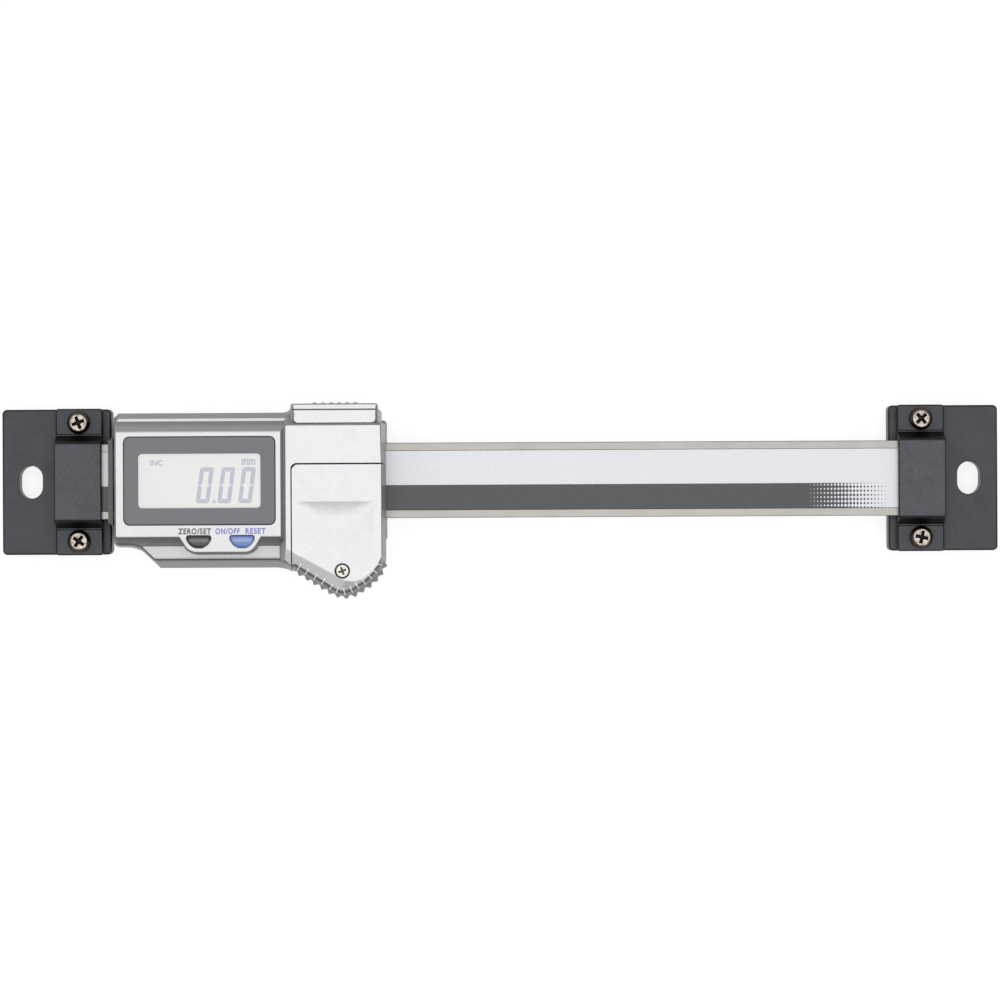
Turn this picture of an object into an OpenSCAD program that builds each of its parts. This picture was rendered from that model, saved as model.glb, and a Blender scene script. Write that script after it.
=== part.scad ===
/* [Beam] */
// Distance between the two fixing slots
slot_pitch = 200; // [190:1:240]
// Width of the scale beam
beam_w = 16; // [15.9:0.1:16.1]
// Thickness of the scale beam
beam_t = 3.5; // [3.4:0.1:3.6]
// Height of the beam's back above the mounting plane
beam_z = 5; // [4.9:0.1:5.1]
// Width of the groove that holds the scale board
groove_w = 12.7; // [12:0.1:13]

/* [End brackets] */
// Length of a bracket base along the beam
base_l = 23.3; // [23.2:0.1:23.6]
// Width of a bracket base across the beam
base_w = 31; // [30:0.5:34]
// Distance from the slot centre to the bracket's outer end
slot_edge = 6.1; // [5.5:0.1:7]
// Width of the fixing slot
slot_w = 5; // [4.2:0.1:5.4]
// Length of the fixing slot
slot_l = 7; // [6:0.1:9]
// Corner radius of the bracket base
base_r = 0.9; // [0.5:0.1:1.4]

/* [Beam clamps] */
// Length of a clamp along the beam
clamp_l = 10; // [8:0.5:10.5]
// Sheet thickness of a clamp
clamp_t = 1.6; // [1.2:0.1:1.8]
// Distance of each clamp screw from the beam's centre line
clamp_screw_y = 12.6; // [12.5:0.1:12.9]
// Gap left under the clamp's ears
clamp_gap = 0.3; // [0.2:0.05:0.4]

/* [Head] */
// Gap between the head and the left bracket at rest
rest_gap = 0.3; // [0.2:0.05:1]
// Length of the head over its end caps
head_l = 58.35; // [58.3:0.05:58.4]
// Height of the head's back above the mounting plane
head_back = 1; // [0.8:0.1:1.2]
// Height of the head's front face
head_front = 17.8; // [17.7:0.1:17.9]
// Sliding clearance round the beam
slide_gap = 0.06; // [0.04:0.01:0.08]
// Half width of the slider body
slider_hw = 13.2; // [13:0.1:13.3]

/* [Mounting holes] */
// Spacing of the tapped holes along the beam
tap_dx = 40; // [36:1:42]
// Spacing of the tapped holes across the beam
tap_dy = 22; // [21.8:0.1:22.2]
// Tap drill radius of an M3 hole
tap_r = 1.25; // [1.2:0.05:1.3]
// Depth of the tapped holes
tap_depth = 6.5; // [5:0.5:7]

/* [Keys] */
// Width of a key
key_w = 5.25; // [4.8:0.05:5.4]
// Height of a key across the head
key_h = 2.55; // [2.3:0.05:2.6]
// How far a key stands proud of the face
key_proud = 0.45; // [0.3:0.05:0.6]
// Clearance round a key
key_gap = 0.12; // [0.08:0.01:0.15]

/* [Battery] */
// Diameter of the button cell
cell_d = 11.6; // [11.4:0.1:11.6]
// Height of the button cell
cell_h = 5.4; // [5:0.1:5.4]

/* [Hidden] */

beam_top = beam_z + beam_t;              // front face of the beam
half = slot_pitch / 2;
inner = half + slot_edge - base_l;       // inner end of each bracket base
clamp_x = inner + 1.7 + clamp_l / 2;     // centre of each clamp
beam_l2 = clamp_x + clamp_l / 2 + 0.1;   // half length of the beam
hx = -inner + rest_gap;                  // left face of the head
foot = 8.8;                              // lower rim of the front case
cap_in = [1.2, 56.9];                    // inner faces of the end caps
lip_out = 0.5;                           // how far the scraper lip stands out past the left end cap
lip_top = 10.4;                          // upper edge of the scraper lip
deck = 9.8;                              // front of the slider's flange
screw_z = beam_z + clamp_gap + clamp_t;  // seat of the clamp screws
z_shelf = 14.9;                          // shelf under the display
z_ledge = 15.1;                          // ledge above the display
key_x = [19.2, 28.3];                  // key centres, from the head's left end
key_y = -11.4;                          // straight edge of the keys
cell_c = [46.3, -9];                     // centre of the button cell
boss = [[3.9, 10.7], [3.9, -10.7], [54.4, 10.7], [54.4, -10.7]]; // case screws
board_fix = [[16.2, -13.6], [31.4, -13.6], [40.8, 8]]; // board screws
cover_screw_p = [49.3, -19];

// outline of the front case, head-local, anticlockwise from the lower left
case_pts = [[0.6, -10], [0.7, -12.5], [1, -13.5], [1.6, -13.9], [4.4, -13.9],
    [5.5, -14], [6.5, -14.3], [7.5, -14.9], [8.5, -15.7], [9.5, -16.7],
    [10.3, -17.8], [10.9, -18.3], [36.5, -18.3], [37.6, -18.5],
    [38.6, -18.9], [38.6, 3.6], [58.3, 3.6], [58.3, 12], [57.5, 12.7],
    [57.4, 14.4], [57.1, 15], [57, 15.9], [56.5, 16.4], [38.4, 16.4],
    [38, 16], [37.6, 14.8], [37.1, 14.5], [1.6, 14.5], [0.6, 13.4]];
// outline of the cover without its ribs
cover_pts = [[38.7, 3.5], [38.7, -18.9], [40.2, -19.9], [48, -24.3], [49.4, -24.8],
    [51, -24.5], [52.6, -23.6], [54, -22.5], [55.3, -21.3], [56.5, -19.9],
    [57.3, -18.4], [57.9, -17], [58.3, -15.5], [58.4, -14], [58.4, -12],
    [58.3, -9.5], [58.3, 3.5]];
// crests of the finger ribs on the cover
rib_pts = concat([for (i = [0:5]) [40.2 + 1.56 * i, -19.9 - 0.88 * i]],
    [[49.4, -24.7], [51, -24.5], [52.6, -23.6], [54, -22.4], [55.3, -21.2], [56.5, -19.8], [57.3, -18.3]]);
// wall of the battery bay under the cover
bay_pts = [[37.6, 3.0], [37.6, -17.6], [40.4, -17.7], [49.3, -22.6], [55, -18.4],
    [56.7, -15.2], [56.7, 3.0]];
// flange of the slider, inside the case's rim
flange_pts = [[1.15, -12.6], [5.4, -13.25], [8.2, -14.75], [10.9, -17.5], [36.6, -17.5],
    [39.2, -17.4], [49.3, -22.75], [55.2, -18.5], [56.9, -15.2], [57.2, 11.6],
    [56.3, 14.1], [38.6, 14.1], [2.1, 13.7], [1.15, 12.8]];
// printed circuit board
board_pts = [[6.3, -10.6], [14.2, -10.6], [14.2, -15.6], [33.4, -15.6], [33.4, -10.6],
    [34.6, -10.6], [34.6, -1.9], [54.6, -1.9], [54.6, 9.4], [35.6, 9.4],
    [35.6, 10.8], [6.3, 10.8]];
// plateau that carries the keys
apron_pts = [[14.5, -9], [14.5, -11.3], [15.2, -11.9], [15.9, -12.9], [16.8, -13.8],
    [17.9, -14.5], [19, -14.9], [28.2, -14.9], [29.3, -14.7],
    [30.3, -14.1], [31.1, -13.3], [31.6, -12.4], [32.2, -11.6], [32.9, -11.2], [32.9, -9]];

// ---- helpers ----
module rrect(x0, y0, x1, y1, r) {
    translate([x0 + r, y0]) square([x1 - x0 - 2 * r, y1 - y0]);
    translate([x0, y0 + r]) square([x1 - x0, y1 - y0 - 2 * r]);
    for (x = [x0 + r, x1 - r], y = [y0 + r, y1 - r]) translate([x, y]) circle(r, $fn = 48);
}
module box(a, b) { translate(a) cube(b - a); }
// a (y, z) profile run along x
module along_x(x0, x1) { translate([x0, 0, 0]) rotate([90, 0, 90]) linear_extrude(x1 - x0) children(); }
// an (x, z) profile run along y
module along_y(y0, y1) { translate([0, y1, 0]) rotate([90, 0, 0]) linear_extrude(y1 - y0) children(); }
module slab(z0, z1) { translate([0, 0, z0]) linear_extrude(z1 - z0) children(); }
module rod(p, z0, z1, r) { translate([p[0], p[1], z0]) cylinder(h = z1 - z0, r = r, $fn = 48); }
module in_head() { translate([hx, 0, 0]) children(); }
module mirrored(side) { if (side < 0) children(); else mirror([1, 0, 0]) children(); }

// pan-head screw with a cross recess; origin under the head, shank down
module pan_screw(hr, hh, r, l, cw, cl, cd) {
    difference() {
        union() {
            rotate_extrude($fn = 64) polygon([[0, 0], [hr - 0.08, 0], [hr, 0.1], [hr, hh * 0.34],
                [hr * 0.94, hh * 0.62], [hr * 0.8, hh * 0.83], [hr * 0.55, hh * 0.96], [0, hh]]);
            translate([0, 0, -l]) cylinder(h = l + 0.01, r = r, $fn = 48);
        }
        for (a = [0, 90]) rotate([0, 0, a]) translate([-cl / 2, -cw / 2, hh - cd]) cube([cl, cw, cd + 1]);
    }
}
module key_outline(g) {
    // half-moon: straight on top, one arc below, rounded top corners
    w = key_w / 2 + g;
    h = key_h + g;
    r = (w * w + (h - 0.55) * (h - 0.55)) / (2 * (h - 0.55));
    intersection() {
        translate([0, r - h + g]) translate([0, -g]) circle(r, $fn = 96);
        union() {
            translate([-w, -h - 1]) square([2 * w, h + 0.45 + g]);
            translate([-w + 0.5, -1]) square([2 * w - 1, 1 + g]);
            for (s = [-1, 1]) translate([s * (w - 0.5), g - 0.5]) circle(0.5, $fn = 32);
        }
    }
}

// ---- beam and scale ----
module scale_beam() {
    color([0.74, 0.72, 0.7]) difference() {
        box([-beam_l2, -beam_w / 2, beam_z], [beam_l2, beam_w / 2, beam_top]);
        box([-beam_l2 - 1, -groove_w / 2, beam_top - 1], [beam_l2 + 1, groove_w / 2, beam_top + 1]);
    }
}
module scale_board() {
    color([0.3, 0.45, 0.3])
        box([-beam_l2 + 0.5, -groove_w / 2 + 0.05, beam_top - 1], [beam_l2 - 0.5, groove_w / 2 - 0.05, beam_top - 0.25]);
}
module scale_film() {
    color([0.88, 0.88, 0.89])
        box([-beam_l2 + 0.5, -groove_w / 2 + 0.05, beam_top - 0.25], [beam_l2 - 0.5, groove_w / 2 - 0.05, beam_top - 0.08]);
}

// ---- end brackets ----
module bracket(side) {
    color([0.2, 0.2, 0.21]) mirrored(side) difference() {
        slab(0, beam_z) difference() {
            rrect(-half - slot_edge, -base_w / 2, -inner, base_w / 2, base_r);
            for (s = [-1, 1]) translate([-half, s * (slot_l - slot_w) / 2]) circle(slot_w / 2, $fn = 64);
            translate([-half - slot_w / 2, -(slot_l - slot_w) / 2]) square([slot_w, slot_l - slot_w]);
        }
        for (s = [-1, 1]) rod([-clamp_x, s * clamp_screw_y], 0.6, beam_z + 1, 1.28);
    }
}
module clamp_profile() {
    iw = beam_w / 2 + 0.05;
    ow = iw + clamp_t;
    z0 = beam_z + clamp_gap;
    ez = z0 + clamp_t;
    top = beam_top + clamp_t;
    difference() {
        union() {
            translate([-base_w / 2 - 0.1, z0]) square([base_w + 0.2, clamp_t - 0.4]);
            translate([-base_w / 2 + 0.3, z0]) square([base_w - 0.6, clamp_t]);
            for (s = [-1, 1]) translate([s * (base_w / 2 - 0.3), ez - 0.4]) circle(0.4, $fn = 32);
            translate([-ow, z0]) square([2 * ow, top - z0 - 1.8]);
            translate([-ow + 1.8, z0]) square([2 * ow - 3.6, top - z0]);
            for (s = [-1, 1]) translate([s * (ow - 1.8), top - 1.8]) circle(1.8, $fn = 64);
            for (s = [-1, 1]) translate([s < 0 ? -ow - 0.6 : ow, ez]) square([0.6, 0.6]);
        }
        translate([-iw, z0 - 1]) square([2 * iw, beam_top - z0 + 1]);
        for (s = [-1, 1]) translate([s * (ow + 0.6), ez + 0.6]) circle(0.6, $fn = 32);
    }
}
module clamp(side) {
    color([0.2, 0.2, 0.22]) mirrored(side) difference() {
        along_x(-clamp_x - clamp_l / 2, -clamp_x + clamp_l / 2) clamp_profile();
        for (s = [-1, 1]) rod([-clamp_x, s * clamp_screw_y], beam_z, screw_z + 1, 1.45);
    }
}
module clamp_screws(side) {
    color([0.5, 0.47, 0.44]) for (s = [-1, 1])
        translate([side * clamp_x, s * clamp_screw_y, screw_z]) rotate([0, 0, side * 17 + s * 14])
            pan_screw(2.42, 2, 1.25, 6.1, 0.75, 2.9, 1.1);
}

// ---- slider ----
module slider_frame() {
    g = slide_gap;
    color([0.7, 0.7, 0.7]) in_head() difference() {
        union() {
            box([cap_in[0], -slider_hw, head_back], [cap_in[1], slider_hw, foot]);
            slab(foot, deck) polygon(flange_pts);
        }
        // channel for the beam and the gib
        box([-1, -beam_w / 2 - g, beam_z - g], [head_l + 1, beam_w / 2 + 0.76, beam_top + g]);
        // opening for the sensor board
        box([5, -6.6, beam_top], [52.6, 6.6, deck + 1]);
        // wiper pockets
        for (x = [[0, cap_in[0] + 1.2], [cap_in[1] - 1.2, 59]]) box([x[0], -9, 3], [x[1], 9, 9.4]);
        // end cap screw holes
        for (y = [-1, 1]) along_screw(y) cylinder(h = 70, r = 0.62, $fn = 48);
        // groove for the case gasket
        slab(deck - 0.35, deck + 1) gasket_ring(0.02);
        // tapped holes for the driven part
        for (x = [-1, 1], y = [-1, 1])
            rod([29.175 + x * tap_dx / 2, y * tap_dy / 2], head_back - 1, head_back + tap_depth, tap_r);
        // case screw holes, counterbored from the back
        for (p = boss) { rod(p, head_back - 1, deck + 1, 1.1); rod(p, head_back - 1, head_back + 1.6, 2); }
        // gib screw holes
        for (x = [15, 43]) translate([x, beam_w / 2, (beam_z + beam_top) / 2]) rotate([-90, 0, 0]) cylinder(h = 8, r = 1.05, $fn = 48);
        // board screw holes
        for (p = board_fix) rod(p, foot - 1, deck + 1, 0.72);
    }
}
module along_screw(y) { translate([-5, y * 11, 5.2]) rotate([0, 90, 0]) children(); }
module end_cap(x0, x1, outer) {
    color([0.5, 0.5, 0.48]) in_head() difference() {
        union() {
            slab(1.3, foot - 0.05) polygon(outer < 0
                ? [[x1, -12.7], [x0 + 0.6, -12.7], [x0, -9], [x0, 9], [x0 + 0.6, 12.7], [x1, 12.7]]
                : [[x0, -12.7], [x1 - 0.3, -12.7], [x1, -12.3], [x1, 12.3], [x1 - 0.3, 12.7], [x0, 12.7]]);
            // scraper lip that closes the end above the beam, clear of the bracket's plate
            if (outer < 0) slab(5.35, lip_top) polygon([[x0 - lip_out, -8.7], [x0 + 0.5, -9.3], [x0 + 0.5, 9.3], [x0 - lip_out, 8.7]]);
        }
        box([x0 - 1, -8.25, beam_z - 0.2], [x1 + 1, 8.25, beam_top + 0.15]);
        box([x0 + 0.5, -8.25, beam_z - 0.2], [x1 + 1, 8.25, foot + 1]);
        for (y = [-1, 1]) along_screw(y) cylinder(h = 70, r = 0.65, $fn = 48);
        for (y = [-1, 1]) translate([outer < 0 ? x0 + 0.25 : x1, y * 11, 5.2]) rotate([0, outer * 90, 0])
            translate([0, 0, -0.75]) cylinder(h = 1.2, r1 = 0.6, r2 = 1.8, $fn = 48);
    }
}
module end_cap_screws() {
    color([0.75, 0.75, 0.76]) in_head() for (y = [-1, 1], o = [-1, 1])
        translate([o < 0 ? 0.25 : head_l, y * 11, 5.2]) rotate([0, o * 90, 0]) difference() {
            union() {
                translate([0, 0, -0.7]) cylinder(h = 0.6, r1 = 0.62, r2 = 1.2, $fn = 48);
                translate([0, 0, -2.3]) cylinder(h = 1.7, r = 0.6, $fn = 48);
            }
            for (a = [0, 90]) rotate([0, 0, a + 20]) translate([-0.75, -0.15, -0.45]) cube([1.5, 0.3, 1]);
        }
}
module wiper(x0, x1) {
    color([0.1, 0.1, 0.1]) in_head() difference() {
        box([x0, -8.95, 3.05], [x1, 8.95, 9.35]);
        box([x0 - 1, -8.1, beam_z - 0.1], [x1 + 1, 8.1, beam_top + 0.1]);
    }
}
module gib_strip() {
    color([0.72, 0.5, 0.28]) in_head() box([4, beam_w / 2 + slide_gap, beam_z + 0.1], [54, beam_w / 2 + slide_gap + 0.6, beam_top - 0.1]);
}
module gib_screws() {
    color([0.4, 0.4, 0.42]) in_head() for (x = [15, 43])
        translate([x, beam_w / 2 + slide_gap + 0.6, (beam_z + beam_top) / 2]) rotate([-90, 0, 0]) difference() {
            cylinder(h = 3.6, r = 1, $fn = 48);
            translate([-1.2, -0.2, 2.8]) cube([2.4, 0.4, 1]);
        }
}

// ---- electronics ----
module sensor_board() { color([0.12, 0.4, 0.2]) in_head() box([5.1, -6.5, beam_top + 0.25], [52.5, 6.5, deck]); }
module main_board() {
    color([0.1, 0.35, 0.18]) in_head() difference() {
        slab(deck, deck + 0.8) polygon(board_pts);
        for (p = board_fix) rod(p, deck - 1, deck + 2, 0.85);
    }
}
module board_screws() {
    color([0.75, 0.75, 0.76]) in_head() for (p = board_fix)
        translate([p[0], p[1], deck + 0.8]) pan_screw(1.25, 0.8, 0.7, 1.7, 0.35, 1.5, 0.4);
}
module measuring_chip() {
    color([0.08, 0.08, 0.09]) in_head() {
        box([16.2, -3.2, deck + 0.8], [24.2, 3.6, deck + 2]);
        for (i = [0:9]) {
            box([16.8 + i * 0.72, -4, deck + 0.8], [17.1 + i * 0.72, -3.2, deck + 1.1]);
            box([16.8 + i * 0.72, 3.6, deck + 0.8], [17.1 + i * 0.72, 4.4, deck + 1.1]);
        }
    }
}
module board_parts() {
    color([0.65, 0.55, 0.4]) in_head() {
        for (i = [0:3]) box([9 + i * 1.6, -1.5, deck + 0.8], [10 + i * 1.6, 0.3, deck + 1.4]);
        for (i = [0:2]) box([26.2, -2.6 + i * 2.2, deck + 0.8], [28.2, -1.5 + i * 2.2, deck + 1.5]);
        box([43.2, 5.2, deck + 0.8], [46.4, 6.8, deck + 1.9]);
        rod([49.6, 6.8], deck + 0.8, deck + 3.2, 1.6);
    }
}
module key_domes() {
    color([0.8, 0.8, 0.78]) in_head() for (x = key_x) translate([x, -13, deck + 0.8])
        rotate_extrude($fn = 48) polygon([[0, 0], [1.5, 0], [1.35, 0.14], [0.9, 0.34], [0, 0.45]]);
}
module key_membrane() {
    color([0.25, 0.25, 0.26]) in_head() difference() {
        box([14.7, -15.2, 12.2], [32.8, -10.9, 13]);
        for (x = key_x) rod([x, -13], 12.1, 12.6, 1.5);
    }
}
module zebra_strips() {
    color([0.85, 0.55, 0.5]) in_head() for (y = [-6.2, 4.9]) box([6.7, y, deck + 0.8], [32, y + 1.5, 14.9]);
}
module lcd_frame() {
    color([0.9, 0.9, 0.9]) in_head() difference() {
        box([5.6, -7.4, deck + 0.8], [33.1, 7.5, 14.9]);
        box([8, -4.6, deck], [30.6, 4.6, 13.9]);
        box([9, -4.2, 13], [29.6, 4.2, 16]);
        for (y = [-6.25, 4.85]) box([6.6, y, deck], [32.1, y + 1.6, 16]);
    }
}
module lcd_panel() {
    color([0.85, 0.87, 0.84]) in_head() {
        box([5.4, -6.7, 14.9], [33.2, 6.8, 15.8]);
        box([5.4, -6.1, 15.8], [33.2, 6.2, 16.7]);
    }
}
module window_seal() {
    color([0.12, 0.12, 0.12]) in_head() slab(16.9, 17.05) difference() {
        rrect(3.45, -9.05, 35.15, 9.45, 1.2);
        rrect(5.2, -7.2, 33.4, 7.3, 0.8);
    }
}
module window() {
    color([0.45, 0.46, 0.48]) in_head() slab(17.05, head_front - 0.05) rrect(3.38, -9.1, 35.22, 9.5, 1.25);
}

// ---- case ----
module case_solid() {
    intersection() {
        slab(foot, 19) polygon(case_pts);
        along_y(-30, 20) polygon([[0.6, foot], [1.7, head_front], [57.5, head_front], [58.3, foot], [58.3, 5], [0.6, 5]]);
        union() {
            // display section
            along_x(0, 36.9) polygon([[-18.3, foot], [-16.75, 14.4], [-16.2, z_shelf], [-13.6, z_shelf],
                [-11.8, head_front], [10.5, head_front], [12.7, z_ledge], [13.2, z_ledge], [14.1, 13.4], [14.5, foot]]);
            // right-hand section
            along_x(36.9, 60) polygon([[-18.9, foot], [-17.6, 15.2], [-15.2, head_front], [11.6, head_front], [11.7, 17.2],
                [12, 17.2], [12.1, head_front], [14.9, head_front], [16, 17.3], [16.3, 15.8], [16.4, foot]]);
            slab(12, head_front) polygon(apron_pts);
        }
    }
    // finger ribs on the top edge
    for (i = [0:5]) rod([43.3 + i * 1.72, 16.15], 11.2, 15.6, 0.45);
}
module front_case() {
    color([0.78, 0.78, 0.79]) in_head() difference() {
        case_solid();
        // groove between the display and the right-hand section
        along_y(-14.9, 11.7) polygon([[36.3, head_front + 0.01], [37.5, head_front + 0.01], [36.9, 16.5]]);
        // slider flange
        slab(foot - 1, deck) offset(delta = 0.05) polygon(flange_pts);
        box([-1, -8.3, foot - 1], [60, 8.3, foot + 0.3]);
        // battery bay lid seat, closed by the cover
        slab(16.35, 20) polygon([[38.6, 3.6], [38.6, -19.5], [60, -19.5], [60, 3.6]]);
        // board and display stack
        slab(deck - 1, deck + 0.9) offset(delta = 0.2) polygon(board_pts);
        box([5.2, -10.4, deck], [34.4, 10.6, 14.9]);
        box([5.2, -7.6, 14], [33.4, 7.7, 16.1]);
        box([5.2, -6.8, 16], [33.4, 6.9, 17.5]);
        box([14.4, -15.4, deck], [33.2, -10, 13.1]);
        // window pocket
        slab(16.9, 19) rrect(3.3, -9.18, 35.3, 9.58, 1.3);
        // keys
        for (x = key_x) {
            translate([x, key_y, 0]) slab(13, 19) key_outline(key_gap);
            box([x - 3.4, -14.7, 13], [x + 3.4, -10.9, 15.3]);
        }
        // room under the right-hand section
        box([38.8, 4.7, deck], [52.8, 13.4, 16]);
        // screw bosses
        for (p = boss) rod(p, foot, 14.2, 1.02);
    }
    // walls of the battery bay
    color([0.78, 0.78, 0.79]) in_head() difference() {
        slab(deck, 16.2) polygon(bay_pts);
        along_x(30, 60) polygon([[3.3, 17], [3.3, 15.9], [-30, 15.9], [-30, 17]]);
        slab(deck - 1, deck + 0.9) offset(delta = 0.2) polygon(board_pts);
        box([41, -1.8, deck], [53.4, 2.0, 17]);
        rod(cell_c, deck - 1, 17, 6.75);
        box([40.2, -6.2, deck], [42.6, -4.2, 17]);
        rod(cover_screw_p, 11, 17, 0.82);
        rod(boss[3], foot, 14.2, 1.02);
        box([36, -20, deck], [38.6, 5, 17]);
    }
}
module gasket_ring(g) {
    difference() {
        offset(delta = g - 0.4) polygon(flange_pts);
        offset(delta = -g - 1.0) polygon(flange_pts);
    }
}
module case_gasket() {
    color([0.1, 0.1, 0.1]) in_head() slab(deck - 0.35, deck) gasket_ring(0);
}
module case_screws() {
    color([0.7, 0.7, 0.72]) in_head() for (p = boss)
        translate([p[0], p[1], head_back + 1.6]) mirror([0, 0, 1]) pan_screw(1.9, 1.3, 1, 11, 0.5, 2.2, 0.7);
}

// ---- battery bay ----
module output_connector() {
    color([0.07, 0.07, 0.08]) in_head() difference() {
        box([41.2, -1.7, deck + 0.8], [53.2, 1.9, 14.4]);
        box([42, -1, 12], [52.4, 1.2, 15]);
    }
}
module connector_pins() {
    color([0.85, 0.7, 0.3]) in_head() for (i = [0:4]) box([43.2 + i * 1.9, -0.2, 12], [43.8 + i * 1.9, 0.4, 14]);
}
module battery_tray() {
    color([0.15, 0.15, 0.16]) in_head() difference() {
        rod(cell_c, deck, 13.4, 6.65);
        rod(cell_c, deck + 0.4, 14, 6.05);
        box([39.5, -6.25, deck - 1], [42.4, -4.15, 14]);
    }
}
module battery_contact_minus() {
    color([0.8, 0.75, 0.6]) in_head() difference() {
        rod(cell_c, deck + 0.4, deck + 0.6, 3.6);
        rod(cell_c, deck, deck + 1, 1.4);
    }
}
module battery_contact_plus() {
    color([0.8, 0.75, 0.6]) in_head() {
        box([40.35, -6.1, deck], [40.6, -4.3, 15]);
        box([40.35, -6.1, deck], [41.2, -4.3, deck + 0.2]);
    }
}
module battery() {
    color([0.75, 0.76, 0.78]) in_head() translate([cell_c[0], cell_c[1], deck + 0.6])
        rotate_extrude($fn = 96) polygon([[0, 0], [cell_d / 2 - 0.9, 0], [cell_d / 2 - 0.9, 0.5], [cell_d / 2 - 0.15, 0.5],
            [cell_d / 2, 0.65], [cell_d / 2, cell_h - 0.25], [cell_d / 2 - 0.25, cell_h], [0, cell_h]]);
}
module cover_seal() {
    color([0.1, 0.1, 0.1]) in_head() slab(15.9, 16.2) difference() {
        offset(delta = -0.35) polygon(bay_pts);
        offset(delta = -1.25) polygon(bay_pts);
        translate([36, -20]) square([2.7, 30]);
    }
}
module cover() {
    color([0.8, 0.8, 0.81]) in_head() difference() {
        union() {
            intersection() {
                slab(foot + 0.1, 19) polygon(cover_pts);
                along_y(-30, 20) polygon([[30, foot], [30, head_front], [57.5, head_front], [58.5, foot]]);
                along_x(30, 60) polygon([[-26, foot], [-26, 16.2], [-22.5, 16.6], [-19, 17.2], [-16, 17.35], [-12, 17.1], [-5.9, 17],
                    [-4.6, head_front], [3.5, head_front], [3.5, foot]]);
                // bevels that meet in the V of the thumb rest
                translate([38.7, -15, 0]) rotate([0, 0, -29]) along_x(-20, 40) polygon([[-8, foot], [-4.6, foot], [-4.2, 13.6], [-2.6, 15.6], [0, 17.8], [60, 17.8], [60, foot]]);
            }
            for (p = rib_pts) rod(p, foot + 0.1, 14.6, 0.42);
        }
        // room for the battery bay
        slab(foot - 1, 16.2) offset(delta = 0.08) polygon(bay_pts);
        slab(foot - 1, deck + 0.05) offset(delta = 0.08) polygon(flange_pts);
        slab(deck - 1, deck + 0.9) offset(delta = 0.2) polygon(board_pts);
        box([50, -8.3, foot - 1], [60, 8.3, foot + 0.3]);
        rod(cover_screw_p, 10, 18, 1.05);
        rod(cover_screw_p, 16.65, 19, 1.62);
    }
}
module cover_screw() {
    color([0.85, 0.84, 0.82]) in_head() translate([cover_screw_p[0], cover_screw_p[1], 16.65])
        pan_screw(1.45, 0.75, 0.78, 5.2, 0.42, 1.7, 0.45);
}

// ---- keys ----
module key(i) {
    in_head() translate([key_x[i], key_y, 0]) {
        slab(14.2, head_front + key_proud) key_outline(0);
        translate([-3.1, -3.1, 13.6]) cube([6.2, 3.4, 1.4]);
        translate([0, -1.58, 13.45]) cylinder(h = 0.3, r = 1, $fn = 32);
    }
}
module zero_key() { color([0.16, 0.16, 0.17]) key(0); }
module origin_key() { color([0.38, 0.5, 0.8]) key(1); }

scale_beam();
scale_board();
scale_film();
bracket(-1);  // left_bracket
bracket(1);  // right_bracket
clamp(-1);  // left_clamp
clamp(1);  // right_clamp
clamp_screws(-1);  // left_clamp_screws
clamp_screws(1);  // right_clamp_screws
slider_frame();
end_cap(0, cap_in[0], -1);  // left_end_cap
end_cap(cap_in[1], head_l, 1);  // right_end_cap
end_cap_screws();
wiper(cap_in[0], cap_in[0] + 1.2);  // left_wiper
wiper(cap_in[1] - 1.2, cap_in[1]);  // right_wiper
gib_strip();
gib_screws();
sensor_board();
main_board();
board_screws();
measuring_chip();
board_parts();
key_domes();
key_membrane();
zebra_strips();
lcd_frame();
lcd_panel();
window_seal();
window();
front_case();
case_gasket();
case_screws();
output_connector();
connector_pins();
battery_tray();
battery_contact_minus();
battery_contact_plus();
battery();
cover_seal();
cover();
cover_screw();
zero_key();
origin_key();
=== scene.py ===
import math

import bmesh
import bpy
import numpy as np
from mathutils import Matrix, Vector
from mathutils.geometry import delaunay_2d_cdt


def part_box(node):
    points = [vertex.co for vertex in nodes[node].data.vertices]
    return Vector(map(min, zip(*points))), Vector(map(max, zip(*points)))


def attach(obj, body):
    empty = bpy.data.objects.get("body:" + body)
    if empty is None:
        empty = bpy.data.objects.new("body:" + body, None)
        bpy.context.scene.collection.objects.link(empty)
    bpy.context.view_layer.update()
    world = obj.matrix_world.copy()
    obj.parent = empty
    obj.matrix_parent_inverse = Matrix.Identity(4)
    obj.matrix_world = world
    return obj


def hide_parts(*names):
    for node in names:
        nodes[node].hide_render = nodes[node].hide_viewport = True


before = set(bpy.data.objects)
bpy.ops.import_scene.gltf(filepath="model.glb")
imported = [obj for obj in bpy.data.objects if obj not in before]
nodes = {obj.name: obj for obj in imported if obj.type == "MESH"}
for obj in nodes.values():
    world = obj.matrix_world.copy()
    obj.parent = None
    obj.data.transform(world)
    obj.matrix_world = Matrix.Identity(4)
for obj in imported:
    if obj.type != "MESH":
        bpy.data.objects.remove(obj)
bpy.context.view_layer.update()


def lo(node):
    return np.array(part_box(node)[0]) * 1000


def hi(node):
    return np.array(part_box(node)[1]) * 1000


# places that the frame gives, in millimetres
HX = hi("right_end_cap")[0] - 58.35  # left end of the slider
Z_BEAM = hi("scale_beam")[2]  # front of the beam
Z_FOOT = lo("front_case")[2]  # lower rim of the case
Z_DECK = lo("main_board")[2]
Z_FACE = 17.8
W_LOW, W_HIGH = lo("window"), hi("window")

# ------------------------------------------------------------------ geometry
# Everything below is in millimetres; Shape.make() turns it into metres.


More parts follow.
